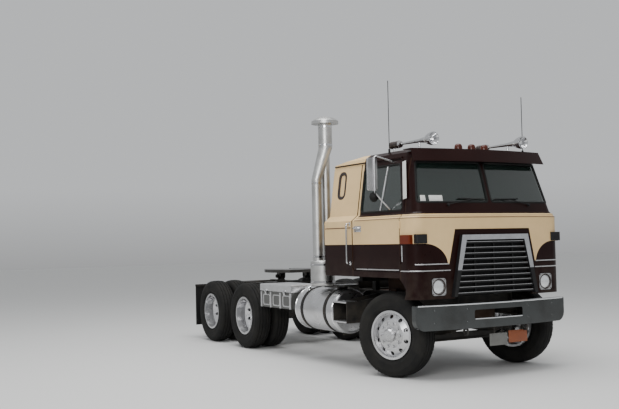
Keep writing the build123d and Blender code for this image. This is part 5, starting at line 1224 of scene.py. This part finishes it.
def add_seat(hand, side):
    """Seat cushion and backrest, and the rigid pedestal under them."""
    y = side * 0.78
    base = Piece(f"seat_base_{hand}", "cab", "cab_trim")
    base.box(at(-0.5, y - 0.16, 1.32), at(-0.12, y + 0.16, 1.352), 0.004)
    base.box(at(-0.47, y - 0.13, 1.35), at(-0.15, y + 0.13, 1.6), 0.02)
    base.box(at(-0.545, y - 0.2, 1.6), at(-0.08, y + 0.2, 1.643), 0.008)
    bar = [at(ahead, y + aside, 1.59) for ahead, aside in ((-0.12, -0.1), (-0.075, -0.1), (-0.075, 0.1), (-0.12, 0.1))]
    base.tube(rounded(bar, 0.02, 4), 0.006, 8).done()
    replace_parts(base.object, "seats")
    cushion(
        f"seat_cushion_{hand}", "brown_vinyl", at(-0.25, y, 1.703), (0, 1, 0), BACK, (0.436, 0.372, 0.122),
        (-0.45, 0.0, 0.45),
    )
    cushion(
        f"seat_back_{hand}", "brown_vinyl", at(-0.5, y, 1.948), (0, 1, 0), UP, (0.376, 0.6, 0.112),
        (-0.6, -0.3, 0.0, 0.3, 0.6),
    )


def add_mattress():
    """Mattress of the bunk."""
    mattress = cushion(
        "mattress", "mattress_cloth", at(-1.042, 0, 1.765), AHEAD, (0, 1, 0), (0.616, 2.24, 0.126),
        (-0.75, -0.5, -0.25, 0.0, 0.25, 0.5, 0.75), (-0.4, 0.4), 0.015, 0.12, (30, 90),
    )
    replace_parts(mattress, "bunk_mattress")


add_tyres()
add_wheel_nuts()
both_sides(add_window_trim)
add_windshield_tags()
both_sides(add_mouldings)
both_sides(add_wiper)
both_sides(add_door_fittings)
both_sides(add_mirror_glasses)
add_lamps()
both_sides(add_horn)
add_grille_screen()
add_bumper_fittings()
both_sides(add_tank_fittings)
add_battery_fittings()
add_stack_clamps()
add_chassis_fittings()
add_rear_wall_fittings()
add_engine_fittings()
add_release_handle()
add_cab_inside()
both_sides(add_seat)
add_mattress()


# Stage: pale floor, soft light

FLOOR_HALF = 60
SKY = ((0.44, (0.22, 0.215, 0.21, 1.0)), (0.53, (0.90, 0.92, 0.94, 1.0)))
SKY_STRENGTH = 0.68


def add_floor():
    mesh = bpy.data.meshes.new("floor")
    mesh.from_pydata([(x, y, 0) for x, y in oblong(0, 0, FLOOR_HALF, FLOOR_HALF)], [], [(0, 1, 2, 3)])
    floor = linked("floor", mesh)
    mesh.materials.append(Graph("floor").set(Base_Color=(0.62, 0.62, 0.61), Roughness=0.75))


def add_world():
    """Sky that goes from grey below the horizon to a pale white above it."""
    world = bpy.data.worlds.new("world")
    world.use_nodes = True
    tree = world.node_tree
    place, split, shift, ramp = (
        tree.nodes.new("ShaderNode" + kind) for kind in ("TexCoord", "SeparateXYZ", "Math", "ValToRGB")
    )
    shift.operation = "MULTIPLY_ADD"
    shift.inputs[1].default_value, shift.inputs[2].default_value = 0.5, 0.5
    for element, (position, colour) in zip(ramp.color_ramp.elements, SKY):
        element.position, element.color = position, colour
    background = tree.nodes["Background"]
    for source, target in (
        (place.outputs["Generated"], split), (split.outputs[2], shift), (shift.outputs[0], ramp),
        (ramp.outputs[0], background),
    ):
        tree.links.new(source, target.inputs[0])
    background.inputs[1].default_value = SKY_STRENGTH
    bpy.context.scene.world = world


def add_area(name, place, aim, size, power):
    """Rectangular lamp that looks from its place at its aim."""
    data = bpy.data.lights.new(name, "AREA")
    data.shape = "RECTANGLE"
    data.size, data.size_y = size
    data.energy = power
    light = linked(name, data)
    light.location = place
    light.rotation_euler = (Vector(aim) - Vector(place)).to_track_quat("-Z", "Y").to_euler()


add_floor()
add_world()
add_area("overhead", (2, -2, 11), (0, 0, 1), (9, 9), 1400)
add_area("front_right", (11, -9, 6), (1, 0, 1.2), (5, 4), 700)
